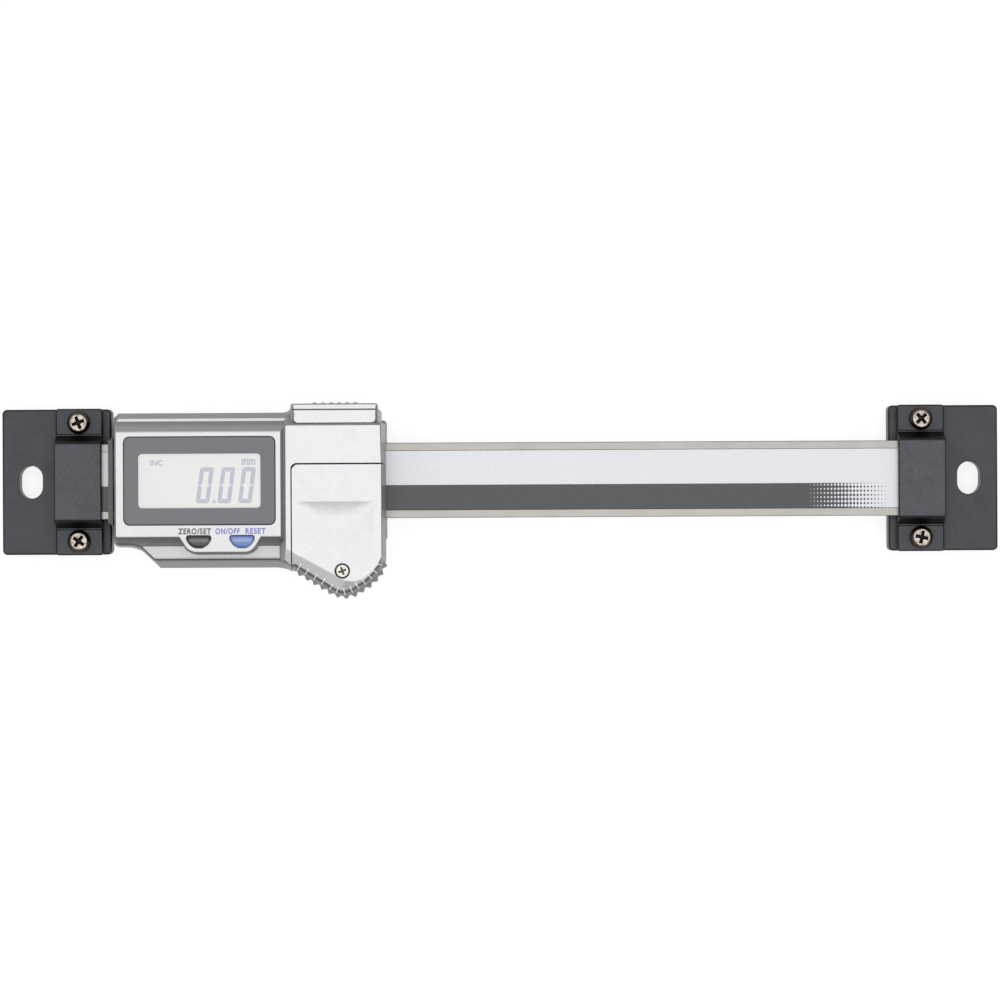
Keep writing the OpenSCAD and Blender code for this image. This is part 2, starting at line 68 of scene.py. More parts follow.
def rounded(corners, seg=10.0, step=None, plan=None):
    """A closed counter-clockwise loop through corners (x, y, radius): points, outward normals and the plan of its divisions."""
    pts = np.array([c[:2] for c in corners], float)
    radii = [c[2] if len(c) > 2 else 0.3 for c in corners]
    n = len(pts)
    loops_p, loops_n, ks = [], [], []
    for i in range(n):
        a, b, c = pts[i - 1], pts[i], pts[(i + 1) % n]
        u, v = a - b, c - b
        lu, lv = np.hypot(*u), np.hypot(*v)
        u, v = u / lu, v / lv
        d0, d1 = -u, v
        cross = d0[0] * d1[1] - d0[1] * d1[0]
        turn = math.atan2(abs(cross), float(d0 @ d1))
        s = 1.0 if cross >= 0 else -1.0
        n0 = np.array([d0[1], -d0[0]])
        k = plan["k"][i] if plan else (0 if turn < 0.01 or radii[i] <= 0 else max(2, math.ceil(math.degrees(turn) / seg)))
        ks.append(k)
        if k == 0:
            m = n0 + np.array([d1[1], -d1[0]])
            loops_p.append([b])
            loops_n.append([m / np.hypot(*m)])
            continue
        t = max(radii[i], 1e-3) * math.tan(turn / 2)
        t = min(t, 0.49 * min(lu, lv))
        r = t / max(math.tan(turn / 2), 1e-9)
        centre = b + u * t - s * n0 * r
        ps, ns = [], []
        for j in range(k + 1):
            w = s * turn * j / k
            nj = np.array([n0[0] * math.cos(w) - n0[1] * math.sin(w), n0[0] * math.sin(w) + n0[1] * math.cos(w)])
            ps.append(centre + s * nj * r)
            ns.append(nj)
        loops_p.append(ps)
        loops_n.append(ns)
    # straight parts, divided where a step is asked for
    out_p, out_n, divs = [], [], []
    for i in range(n):
        out_p += list(loops_p[i])
        out_n += list(loops_n[i])
        p, q = loops_p[i][-1], loops_p[(i + 1) % n][0]
        length = np.hypot(*(q - p))
        m = plan["m"][i] if plan else (0 if not step else int(length / step))
        divs.append(m)
        np_, nq = loops_n[i][-1], loops_n[(i + 1) % n][0]
        for j in range(1, m + 1):
            w = j / (m + 1)
            out_p.append(p * (1 - w) + q * w)
            nn = np_ * (1 - w) + nq * w
            out_n.append(nn / np.hypot(*nn))
    return np.array(out_p), np.array(out_n), {"k": ks, "m": divs}


def rect(x0, y0, x1, y1, r):
    return [(x0, y0, r), (x1, y0, r), (x1, y1, r), (x0, y1, r)]


def circle(cx, cy, r, n=64):
    t = np.linspace(0, 2 * np.pi, n, endpoint=False)
    nn = np.c_[np.cos(t), np.sin(t)]
    return np.array([cx, cy]) + r * nn, nn, None


def slot_loop(cx, cy, w, length, n=20):
    t = np.linspace(0, np.pi, n)
    up, dn = np.c_[np.cos(t), np.sin(t)], np.c_[-np.cos(t), -np.sin(t)]
    nn = np.vstack([up, dn])
    off = np.vstack([np.tile([0, (length - w) / 2], (n, 1)), np.tile([0, -(length - w) / 2], (n, 1))])
    return np.array([cx, cy]) + off + nn * w / 2, nn, None


class Profile:
    """A height that follows a line of (position, height, radius) points, its corners rounded."""

    def __init__(self, pts):
        xs, zs = [pts[0][0]], [pts[0][1]]
        for i in range(1, len(pts) - 1):
            a, b, c = (np.array(pts[j][:2], float) for j in (i - 1, i, i + 1))
            r = pts[i][2] if len(pts[i]) > 2 else 0
            u, v = a - b, c - b
            lu, lv = np.hypot(*u), np.hypot(*v)
            u, v = u / lu, v / lv
            turn = math.pi - math.acos(max(-1, min(1, float(u @ v))))
            if r <= 0 or turn < 1e-3:
                xs.append(b[0]), zs.append(b[1])
                continue
            t = min(r * math.tan(turn / 2), 0.49 * min(lu, lv))
            r = t / math.tan(turn / 2)
            w = (u + v) / np.hypot(*(u + v))
            centre = b + w * r / math.cos(turn / 2)
            a0, a1 = (b + u * t) - centre, (b + v * t) - centre
            t0, t1 = math.atan2(a0[1], a0[0]), math.atan2(a1[1], a1[0])
            d = (t1 - t0 + math.pi) % (2 * math.pi) - math.pi
            for j in range(9):
                q = centre + r * np.array([math.cos(t0 + d * j / 8), math.sin(t0 + d * j / 8)])
                xs.append(q[0]), zs.append(q[1])
        xs.append(pts[-1][0]), zs.append(pts[-1][1])
        self.x, self.z = np.array(xs), np.array(zs)

    def __call__(self, x):
        return np.interp(x, self.x, self.z)


def smin(a, b, k):
    h = np.maximum(k - np.abs(a - b), 0) / k
    return np.minimum(a, b) - h * h * k / 4


def smax(a, b, k):
    return -smin(-a, -b, k)


def sstep(a, b, x):
    t = np.clip((x - a) / (b - a), 0, 1)
    return t * t * (3 - 2 * t)


def away(x, y, loop):
    """Signed distance from a closed loop of points: negative inside."""
    x, y = np.asarray(x, float), np.asarray(y, float)
    shape = np.broadcast(x, y).shape
    p = np.c_[np.broadcast_to(x, shape).ravel(), np.broadcast_to(y, shape).ravel()]
    a, b = loop, np.roll(loop, -1, 0)
    d = b - a
    ll = np.maximum((d**2).sum(1), 1e-12)
    best = np.full(len(p), 1e9)
    inside = np.zeros(len(p), bool)
    for i in range(len(a)):
        w = np.clip(((p - a[i]) @ d[i]) / ll[i], 0, 1)
        best = np.minimum(best, ((p - a[i] - w[:, None] * d[i]) ** 2).sum(1))
        cond = (a[i, 1] > p[:, 1]) != (b[i, 1] > p[:, 1])
        if cond.any() and d[i, 1] != 0:
            inside ^= cond & (p[:, 0] < a[i, 0] + (p[:, 1] - a[i, 1]) * d[i, 0] / d[i, 1])
    s = np.sqrt(best)
    return np.where(inside, -s, s).reshape(shape)


def within(p, loop):
    """Whether each point lies inside a closed loop."""
    a, b = loop, np.roll(loop, -1, 0)
    inside = np.zeros(len(p), bool)
    for q, r in zip(a, b):
        if q[1] == r[1]:
            continue
        cond = (q[1] > p[:, 1]) != (r[1] > p[:, 1])
        inside ^= cond & (p[:, 0] < q[0] + (p[:, 1] - q[1]) * (r[0] - q[0]) / (r[1] - q[1]))
    return inside


def normals_of(top, x, y, e=0.01):
    gx = (top(x + e, y) - top(x - e, y)) / (2 * e)
    gy = (top(x, y + e) - top(x, y - e)) / (2 * e)
    n = np.c_[-gx, -gy, np.ones_like(gx)]
    return n / np.linalg.norm(n, axis=1)[:, None]


def grid_points(top, x0, y0, x1, y1, root=0.8, least=0.1, tol=0.006, fine=()):
    """Points that get denser where the surface bends."""
    nx, ny = max(1, math.ceil((x1 - x0) / root)), max(1, math.ceil((y1 - y0) / root))
    cx, cy = np.meshgrid(x0 + np.arange(nx) * root, y0 + np.arange(ny) * root)
    cells, s, out = np.c_[cx.ravel(), cy.ravel()], root, []
    while len(cells):
        x, y = cells[:, 0], cells[:, 1]
        z = {(i, j): top(x + s * i / 2, y + s * j / 2) for i in range(3) for j in range(3)}
        err = np.zeros(len(cells))
        for (i, j), v in z.items():
            u, w = i / 2, j / 2
            flat = z[0, 0] * (1 - u) * (1 - w) + z[2, 0] * u * (1 - w) + z[0, 2] * (1 - u) * w + z[2, 2] * u * w
            err = np.maximum(err, np.abs(v - flat))
        split = err > tol
        for bx0, by0, bx1, by1, size in fine:
            split |= (s > size * 1.01) & (x + s > bx0) & (x < bx1) & (y + s > by0) & (y < by1)
        if s <= least * 1.01:
            split[:] = False
        keep = cells[~split]
        for dx in (0, s):
            for dy in (0, s):
                out.append(keep + [dx, dy])
        cells = cells[split]
        s /= 2
        cells = np.vstack([cells, cells + [s, 0], cells + [0, s], cells + [s, s]]) if len(cells) else cells
    pts = np.vstack(out)
    return np.unique(np.round(pts, 5), axis=0)


class Shape:
    def __init__(self):
        self.v, self.f, self.n, self.m, self.count = [], [], [], [], 0

    def add(self, xy, z):
        xy = np.asarray(xy, float)
        z = np.broadcast_to(z, (len(xy),))
        self.v.append(np.c_[xy, z])
        self.count += len(xy)
        return np.arange(self.count - len(xy), self.count)

    def strip(self, a, na, b, nb, mat=0):
        """A closed band of faces between two rings of equal length."""
        k = len(a)
        for i in range(k):
            j = (i + 1) % k
            self.f.append((int(a[i]), int(a[j]), int(b[j]), int(b[i])))
            self.n.append((na[i], na[j], nb[j], nb[i]))
            self.m.append(mat)

    def fill(self, rings, extra_xy, zfun, nfun, flip=False, mat=0, pick=None):
        """Triangles inside the first ring and outside the others (lists of (indices, xy)), through extra points."""
        xy, idx, edges = [], [], []
        for ind, p in rings:
            base = len(xy)
            xy += [tuple(q) for q in p]
            idx += [int(i) for i in ind]
            edges += [(base + i, base + (i + 1) % len(p)) for i in range(len(p))]
        if extra_xy is not None and len(extra_xy):
            ne = self.add(extra_xy, zfun(extra_xy[:, 0], extra_xy[:, 1]))
            xy += [tuple(q) for q in extra_xy]
            idx += [int(i) for i in ne]
        out = delaunay_2d_cdt([Vector(q) for q in xy], edges, [], 1, 1e-7, True)
        vo, orig = np.array([tuple(q) for q in out[0]]), out[3]
        tris = np.array([list(t) for t in out[2]])
        middle = vo[tris].mean(1)
        keep = within(middle, np.asarray(rings[0][1]))
        for _, p in rings[1:]:
            keep &= ~within(middle, np.asarray(p))
        tris = tris[keep].tolist()
        kinds = pick(middle[keep, 0], middle[keep, 1]) if pick else [mat] * len(tris)
        vid = []
        for i, o in enumerate(orig):
            if len(o):
                vid.append(idx[o[0]])
            else:
                vid.append(int(self.add(vo[i : i + 1], zfun(vo[i : i + 1, 0], vo[i : i + 1, 1]))[0]))
        ns = nfun(vo[:, 0], vo[:, 1])
        for t, kind in zip(tris, kinds):
            t = list(t) if not flip else list(t)[::-1]
            ids = tuple(vid[i] for i in t)
            if len(set(ids)) < 3:
                continue
            self.f.append(ids)
            self.n.append(tuple(ns[i] for i in t))
            self.m.append(int(kind))

    def make(self, name, mats, body, move=None, turn=None):
        v = np.vstack(self.v)
        normal = np.array([x for face in self.n for x in face], float)
        if turn is not None:
            v, normal = v @ turn.T, normal @ turn.T
        if move is not None:
            v = v + np.asarray(move, float)
        mesh = bpy.data.meshes.new(name)
        mesh.from_pydata((v * 0.001).tolist(), [], self.f)
        mesh.polygons.foreach_set("use_smooth", [True] * len(self.f))
        mesh.polygons.foreach_set("material_index", self.m)
        mesh.normals_split_custom_set([tuple(q) for q in normal])
        for m in mats if isinstance(mats, (list, tuple)) else [mats]:
            mesh.materials.append(m)
        obj = bpy.data.objects.new(name, mesh)
        bpy.context.scene.collection.objects.link(obj)
        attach(obj, body)
        return obj


def flat(z):
    return lambda x, y: np.full(np.shape(x), float(z))


def const_normal(n):
    return lambda x, y: np.tile(np.array(n, float), (len(x), 1))


def relief(top, loop, z_foot, foot=None, r=0.3, r_foot=0.0, holes=(), under=None, cells=None, arc=5, mat=0, shape=None, flat_top=False, pick=None):
    """A closed solid: an upper surface over a loop, filleted into its walls.

    loop and foot are (points, normals, plan) with the same number of points. holes are dicts: loop, z (floor) or
    through or deep (down into the last recess), r, mat. under is a list of (loop, z): recesses in the underside, nested."""
    s = shape or Shape()
    P, N = loop[0], loop[1]
    F, FN = (foot[0], foot[1]) if foot else (P, N)
    up = np.array([0, 0, 1.0])
    r = np.broadcast_to(np.asarray(r, float), len(P))
    inner = P - r[:, None] * N
    zt = top(inner[:, 0], inner[:, 1])
    h = normals_of(top, inner[:, 0], inner[:, 1]) if not flat_top else np.tile(up, (len(P), 1))
    n3 = np.c_[N, np.zeros(len(N))]
    f3 = np.c_[FN, np.zeros(len(FN))]
    z_wall = zt - r
    draft = ((F - P) * N).sum(1)
    wall = n3 * (z_wall - z_foot)[:, None] + up * draft[:, None]
    wall /= np.linalg.norm(wall, axis=1)[:, None]
    wall_f = f3 * (z_wall - z_foot)[:, None] + up * draft[:, None]
    wall_f /= np.linalg.norm(wall_f, axis=1)[:, None]
    # foot
    if r_foot > 0:
        base_xy = F - r_foot * FN
        ring, nr = s.add(base_xy, z_foot), np.tile(-up, (len(F), 1))
        foot_ring, foot_xy = ring, base_xy
        for j in range(1, arc + 1):
            w = math.pi / 2 * j / arc
            nxt = s.add(F - r_foot * (1 - math.sin(w)) * FN, z_foot + r_foot * (1 - math.cos(w)))
            nn = -up * math.cos(w) + wall_f * math.sin(w)
            s.strip(ring, nr, nxt, nn, mat)
            ring, nr = nxt, nn
    else:
        ring, nr = s.add(F, z_foot), wall_f
        foot_ring, foot_xy = ring, F
    # wall and upper fillet
    for j in range(arc + 1):
        w = math.pi / 2 * j / arc
        nxt = s.add(P - (r * (1 - math.cos(w)))[:, None] * N, zt - r * (1 - math.sin(w)))
        nn = wall * math.cos(w) + h * math.sin(w)
        nn /= np.linalg.norm(nn, axis=1)[:, None]
        s.strip(ring, nr, nxt, nn, mat)
        ring, nr = nxt, nn
    rings, low, deep = [(ring, inner)], [], []
    for hole in holes:
        Q, M = hole["loop"][0], hole["loop"][1]
        rr = hole.get("r", 0.15)
        oxy = Q + rr * M
        oz = top(oxy[:, 0], oxy[:, 1])
        oh = normals_of(top, oxy[:, 0], oxy[:, 1]) if not flat_top else np.tile(up, (len(Q), 1))
        m3 = np.c_[-M, np.zeros(len(M))]
        first = s.add(oxy, oz)
        ring, nr = first, oh
        for j in range(1, arc + 1):
            w = math.pi / 2 * (1 - j / arc)
            nxt = s.add(Q + rr * (1 - math.cos(w)) * M, oz - rr * (1 - math.sin(w)))
            nn = m3 * math.cos(w) + oh * math.sin(w)
            s.strip(ring, nr, nxt, nn, hole.get("mat", mat))
            ring, nr = nxt, nn
        rings.append((first, oxy))
        if hole.get("through"):
            rb = hole.get("r_low", 0)
            if rb > 0:
                nxt = s.add(Q, z_foot + rb)
                s.strip(ring, nr, nxt, m3, mat)
                ring, nr = nxt, m3
                for j in range(1, arc + 1):
                    w = math.pi / 2 * j / arc
                    nxt = s.add(Q + rb * (1 - math.cos(w)) * M, z_foot + rb * (1 - math.sin(w)))
                    nn = m3 * math.cos(w) - up * math.sin(w)
                    s.strip(ring, nr, nxt, nn, mat)
                    ring, nr = nxt, nn
                low.append((ring, Q + rb * M))
            else:
                nxt = s.add(Q, z_foot)
                s.strip(ring, nr, nxt, m3, mat)
                low.append((nxt, Q))
        elif hole.get("deep"):
            nxt = s.add(Q, under[-1][1])
            s.strip(ring, nr, nxt, m3, mat)
            deep.append((nxt, Q))
        else:
            nxt = s.add(Q, hole["z"])
            s.strip(ring, nr, nxt, m3, hole.get("mat", mat))
            s.fill([(nxt, Q)], None, flat(hole["z"]), const_normal(up), mat=hole.get("mat", mat))
    extra = None
    if cells is not None:
        g = grid_points(top, P[:, 0].min(), P[:, 1].min(), P[:, 0].max(), P[:, 1].max(), **cells)
        d = away(g[:, 0], g[:, 1], inner)
        keep = d < -0.06
        for hole in holes:
            keep &= away(g[:, 0], g[:, 1], hole["loop"][0]) > hole.get("r", 0.15) + 0.05
        extra = g[keep]
    nf = (lambda x, y: normals_of(top, x, y)) if not flat_top else const_normal(up)
    s.fill(rings, extra, top, nf, mat=mat, pick=pick)
    # underside: nested recesses, the last one open to the deep holes
    hang = -up
    if under:
        xy, ring, z_at = foot_xy, foot_ring, z_foot
        pend = low
        for k, (lp, z_up) in enumerate(under):
            U, UM = lp[0], lp[1]
            rim = s.add(U, z_at)
            s.fill([(ring, xy), (rim, U)] + pend, None, flat(z_at), const_normal(hang), flip=True, mat=mat)
            roof = s.add(U, z_up)
            m3 = np.c_[-UM, np.zeros(len(UM))]
            s.strip(roof, m3, rim, m3, mat)
            xy, ring, z_at, pend = U, roof, z_up, []
        s.fill([(ring, xy)] + deep, None, flat(z_at), const_normal(hang), flip=True, mat=mat)
    else:
        s.fill([(foot_ring, foot_xy)] + low, None, flat(z_foot), const_normal(hang), flip=True, mat=mat)
    return s


def slab(loop, z0, z1, r=0.1, r_foot=0.0, holes=(), mat=0, shape=None, arc=4):
    return relief(flat(z1), loop, z0, r=r, r_foot=r_foot, holes=holes, mat=mat, shape=shape, flat_top=True, arc=arc)


ALONG_X = np.array([[0, 0, 1.0], [1.0, 0, 0], [0, 1.0, 0]])  # a loop in (y, z), its height along x

# ----------------------------------------------------------------- materials


def lin(*rgb):
    return tuple((c / 12.92 if c <= 0.04045 else ((c + 0.055) / 1.055) ** 2.4) for c in (v / 255 for v in rgb)) + (1.0,)


class Mat:
    """A procedural material: a Principled shader fed by nodes in object space, in metres."""

    def __init__(self, name, rough=0.4, metal=0.0, **fixed):
        self.m = bpy.data.materials.new(name)
        self.m.use_nodes = True
        self.t = self.m.node_tree
        self.t.nodes.clear()
        self.out = self.t.nodes.new("ShaderNodeOutputMaterial")
        self.b = self.t.nodes.new("ShaderNodeBsdfPrincipled")
        self.t.links.new(self.b.outputs[0], self.out.inputs[0])
        self.b.inputs["Roughness"].default_value = rough
        self.b.inputs["Metallic"].default_value = metal
        for k, v in fixed.items():
            self.b.inputs[k.replace("_", " ")].default_value = v
        self.co = self.t.nodes.new("ShaderNodeTexCoord").outputs["Object"]

    def node(self, kind, **props):
        n = self.t.nodes.new(kind)
        for k, v in props.items():
            setattr(n, k, v)
        return n

    def link(self, a, b):
        self.t.links.new(a, b)

    def scaled(self, sx, sy=None, sz=None, rot=(0, 0, 0)):
        n = self.node("ShaderNodeMapping")
        n.inputs["Scale"].default_value = (sx, sy or sx, sz or sy or sx)
        n.inputs["Rotation"].default_value = rot
        self.link(self.co, n.inputs["Vector"])
        return n.outputs[0]

    def noise(self, vec, scale=1.0, detail=4.0, rough=0.55):
        n = self.node("ShaderNodeTexNoise")
        n.inputs["Scale"].default_value = scale
        n.inputs["Detail"].default_value = detail
        n.inputs["Roughness"].default_value = rough
        self.link(vec, n.inputs["Vector"])
        return n.outputs["Fac"]

    def voronoi(self, vec, scale=1.0, feature="F1"):
        n = self.node("ShaderNodeTexVoronoi", feature=feature)
        n.inputs["Scale"].default_value = scale
        self.link(vec, n.inputs["Vector"])
        return n.outputs["Distance"]

    def remap(self, fac, a, b, c, d, smooth=False):
        n = self.node("ShaderNodeMapRange")
        n.interpolation_type = "SMOOTHSTEP" if smooth else "LINEAR"
        for i, v in enumerate((a, b, c, d)):
            n.inputs[i + 1].default_value = v
        self.link(fac, n.inputs[0])
        return n.outputs[0]

    def math(self, op, a, b=None, clamp=False):
        n = self.node("ShaderNodeMath", operation=op)
        n.use_clamp = clamp
        for i, v in enumerate((a, b)):
            if v is None:
                continue
            if isinstance(v, (int, float)):
                n.inputs[i].default_value = v
            else:
                self.link(v, n.inputs[i])
        return n.outputs[0]

    def mix(self, fac, a, b):
        n = self.node("ShaderNodeMix", data_type="RGBA")
        for sock, v in ((n.inputs[0], fac), (n.inputs[6], a), (n.inputs[7], b)):
            if isinstance(v, (int, float)):
                sock.default_value = v
            elif isinstance(v, tuple):
                sock.default_value = v
            else:
                self.link(v, sock)
        return n.outputs[2]

    def axes(self):
        n = self.node("ShaderNodeSeparateXYZ")
        self.link(self.co, n.inputs[0])
        return n.outputs

    def colour(self, v):
        if isinstance(v, tuple):
            self.b.inputs["Base Color"].default_value = v
        else:
            self.link(v, self.b.inputs["Base Color"])
        return self

    def roughness(self, v):
        self.link(v, self.b.inputs["Roughness"])
        return self

    def bump(self, height, strength=0.2, distance=1e-5):
        n = self.node("ShaderNodeBump")
        n.inputs["Strength"].default_value = strength
        n.inputs["Distance"].default_value = distance
        self.link(height, n.inputs["Height"])
        self.link(n.outputs[0], self.b.inputs["Normal"])
        return self

    def by_slope(self, face, slope, wall, steep=(0.80, 0.95), low=(0.30, 0.60)):
        """Painted shade: one colour for faces that look forwards, one for bevels and one for walls, picked by which way
        the surface faces.
        """
        n = self.node("ShaderNodeSeparateXYZ")
        self.link(self.node("ShaderNodeTexCoord").outputs["Normal"], n.inputs[0])
        side = self.mix(self.remap(n.outputs["Z"], *low, 0.0, 1.0, True), wall, slope)
        return self.mix(self.remap(n.outputs["Z"], *steep, 0.0, 1.0, True), side, face)


def silver_paint(name="silver_case_paint", face=(210, 220), up=(124, 134), down=(92, 100), wall=(116, 126), top=(88, 96), ledge=(214, 222), low=0.01492, grip=0.0, right=22):
    """Metallic silver on the faces; bevels, walls, ledges and shelves take colours by which way they face and how high
    they lie, as painted shade and painted light.
    """
    a = Mat(name, 0.36, 0.12, Specular_IOR_Level=0.2, Coat_Weight=0.03, Coat_Roughness=0.25)
    flake = a.voronoi(a.scaled(1.0), 16000)
    cloud = a.noise(a.scaled(1.0), 420, 3)
    fine = a.remap(a.noise(a.scaled(1.0), 4600, 2), 0.34, 0.66, 0.0, 1.0)
    speck = a.math("ADD", a.math("MULTIPLY", a.remap(flake, 0.15, 0.75, 0.0, 1.0), 0.4), a.math("MULTIPLY", fine, 0.6))
    x, y, z = a.axes()

    def tone(v):
        return a.mix(speck, lin(v[0] - 6, v[0] - 6, v[0] - 4), lin(v[1] + 6, v[1] + 6, v[1] + 8))

    skin = a.mix(a.remap(x, -0.0475, -0.0445, 0.0, 1.0), tone(face), tone(tuple(v + 6 for v in face)))
    base = a.mix(a.remap(cloud, 0.35, 0.65, 0.0, 0.2), skin, lin(face[0] - 6, face[0] - 6, face[0] - 3))
    # painted shade: below the step height the faces take the ledge tone behind and a darker shelf tone in front,
    # darkest towards its outer edge
    shelf = a.mix(a.remap(y, -0.0166, -0.0157, 0.0, 1.0, True), tone(tuple(v - 64 for v in ledge)), tone(tuple(v - 19 for v in ledge)))
    front = a.remap(y, -0.001, 0.001, 0.0, 1.0)
    base = a.mix(a.remap(z, low, low + 0.0001, 0.0, 1.0), a.mix(front, shelf, tone(ledge)), base)
    n = a.node("ShaderNodeSeparateXYZ")
    a.link(a.node("ShaderNodeTexCoord").outputs["Normal"], n.inputs[0])
    # painted shade and painted light on the bevels: those that face -y darker, those that face +y lighter, each graded
    # along y; the rounded edge at the step dark in front and light behind
    lower = a.mix(a.remap(y, -0.0133, -0.0125, 0.0, 1.0, True), tone(tuple(v + 26 for v in down)), tone(tuple(v - 8 for v in down)))
    lower = a.mix(a.remap(y, -0.0138, -0.0136, 0.0, 1.0), tone(down), lower)
    upper = a.mix(a.remap(y, 0.0108, 0.0124, 0.0, 1.0, True), tone(tuple(v + 14 for v in up)), tone(tuple(v - 2 for v in up)))
    upper = a.mix(a.remap(y, 0.0128, 0.0130, 0.0, 1.0), upper, tone(up))
    bevel = a.mix(a.remap(n.outputs["Y"], -0.3, 0.3, 0.0, 1.0, True), lower, upper)
    rim = a.mix(front, tone(tuple(v - 34 for v in down)), tone(tuple(v + 34 for v in up)))
    bevel = a.mix(a.remap(z, low - 0.0003, low + 0.0002, 0.0, 1.0), rim, bevel)
    # painted shade and painted light on the walls: facing +x changed by right, facing -x lighter, facing +y the top
    # tone, and facing -y high up darker
    side = a.mix(a.remap(n.outputs["X"], 0.3, 0.9, 0.0, 1.0), tone(wall), tone(tuple(v + right for v in wall)))
    side = a.mix(a.remap(n.outputs["X"], -0.5, -0.9, 0.0, 1.0), side, tone(tuple(v + 44 for v in wall)))
    side = a.mix(a.remap(n.outputs["Y"], 0.2, 0.9, 0.0, 1.0), side, tone(top))
    under = a.math("MULTIPLY", a.remap(n.outputs["Y"], -0.3, -0.7, 0.0, 1.0), a.remap(z, 0.0130, 0.0140, 0.0, 1.0, True))
    side = a.mix(under, side, tone(tuple(v - 34 for v in wall)))
    if grip:  # painted shade on the walls of the finger grips, deepest on their upper part
        here = a.math("MULTIPLY", a.remap(y, -0.0168, -0.0178, 0.0, 1.0), a.remap(x, (PX + 0.1) / 1000, (PX + 0.9) / 1000, 0.0, 1.0))
        dark = a.mix(a.remap(z, 0.0088, 0.0116, 0.0, 1.0, True), tone((98, 108)), tone((46, 54)))
        dark = a.mix(a.remap(z, 0.0152, 0.0162, 0.0, 1.0, True), dark, tone((78, 86)))
        side = a.mix(a.math("MULTIPLY", here, grip), side, dark)
    # painted shade: faces that tilt away from straight up take the bevel and wall colours
    flat = a.remap(n.outputs["Z"], 0.915, 0.998, 0.0, 1.0, True)
    if grip:  # on the cover, slopes that face along the beam take little of the painted shade
        across, along = (a.math("MULTIPLY", n.outputs[k], n.outputs[k]) for k in ("Y", "X"))
        lean = a.math("SUBTRACT", a.math("SUBTRACT", 1.0, a.math("MULTIPLY", across, 1.31)), a.math("MULTIPLY", along, 0.1))
        lean = a.math("SQRT", a.math("MAXIMUM", lean, 0.0))
        flat = a.math("MULTIPLY", a.remap(lean, 0.915, 0.998, 0.0, 1.0, True), a.remap(n.outputs["Z"], 0.88, 0.955, 0.0, 1.0, True))
    soft = (0.60, 0.90) if grip else (0.30, 0.60)
    side = a.mix(a.remap(n.outputs["Z"], *soft, 0.0, 1.0, True), side, bevel)
    a.colour(a.mix(flat, side, base))
    a.roughness(a.remap(a.noise(a.scaled(1.0), 2600, 3), 0.3, 0.7, 0.32, 0.44))
    a.bump(a.math("ADD", a.noise(a.scaled(1.0), 9000, 2), a.math("MULTIPLY", flake, 0.4)), 0.2, 5e-6)
    return a.m


def black_coat(name="black_bracket_coat", base=(53, 54, 58), pale=(71, 72, 77), dark=(4, 4, 5), rough=(0.34, 0.5), step=None):
    """Satin black coat with a mottled grain; bends and walls are painted deep black as painted shade."""
    a = Mat(name, 0.42, 0.2, Specular_IOR_Level=0.3, Coat_Weight=0.03, Coat_Roughness=0.3)
    grain = a.noise(a.scaled(1.0), 2600, 6, 0.65)
    mottle = a.remap(grain, 0.38, 0.68, 0.0, 1.0)
    blot = a.noise(a.scaled(1.0), 240, 4)
    c = a.mix(mottle, lin(*base), lin(*pale))
    if step:  # painted shade: faces below the step height are darker
        c = a.mix(a.remap(a.axes()["Z"], step, step + 0.0003, 0.0, 1.0), a.mix(mottle, lin(*(v - 12 for v in base)), lin(*(v - 13 for v in pale))), c)
    c = a.mix(a.remap(blot, 0.4, 0.7, 0.0, 0.35), c, lin(*(max(0, v - 14) for v in base)))
    deep = a.mix(mottle, lin(*dark), lin(*(v + 6 for v in dark)))
    wall = a.mix(mottle, lin(*(v + 8 for v in dark)), lin(*(v + 18 for v in dark)))
    a.colour(a.by_slope(c, deep, wall, (0.86, 0.985)))
    a.roughness(a.remap(grain, 0.3, 0.7, *rough))
    a.bump(grain, 0.35, 1.2e-5)
    return a.m


def brushed_steel():
    a = Mat("beam_brushed_steel", 0.3, 0.95)
    lines = a.noise(a.scaled(60, 9000, 9000), 1.0, 5, 0.7)
    fine = a.noise(a.scaled(260, 26000, 26000), 1.0, 3, 0.6)
    cloud = a.noise(a.scaled(1.0), 160, 3)
    c = a.mix(a.remap(lines, 0.35, 0.65, 0.0, 1.0), lin(139, 136, 133), lin(164, 160, 157))
    c = a.mix(a.remap(cloud, 0.35, 0.7, 0.0, 0.3), c, lin(132, 128, 124))
    a.colour(c)
    a.roughness(a.remap(lines, 0.3, 0.7, 0.26, 0.44))
    a.bump(a.math("ADD", lines, a.math("MULTIPLY", fine, 0.6)), 0.35, 4e-6)
    return a.m


def machined(name, base, pale, rough=(0.28, 0.42), metal=0.9):
    a = Mat(name, 0.35, metal)
    lines = a.noise(a.scaled(5000, 700, 5000), 1.0, 4, 0.6)
    cloud = a.noise(a.scaled(1.0), 300, 4)
    c = a.mix(a.remap(lines, 0.35, 0.65, 0.0, 1.0), lin(*base), lin(*pale))
    # painted highlight on broken edges, that is, where the surface faces along none of the axes
    n = a.node("ShaderNodeSeparateXYZ")
    a.link(a.node("ShaderNodeTexCoord").outputs["Normal"], n.inputs[0])
    along = [a.math("ABSOLUTE", q) for q in n.outputs[:3]]
    square = a.math("MAXIMUM", a.math("MAXIMUM", along[0], along[1]), along[2])
    a.colour(a.mix(a.remap(square, 0.985, 0.90, 0.0, 0.45, True), c, lin(232, 232, 234)))
    a.roughness(a.remap(cloud, 0.3, 0.7, *rough))
    a.bump(lines, 0.25, 5e-6)
    return a.m


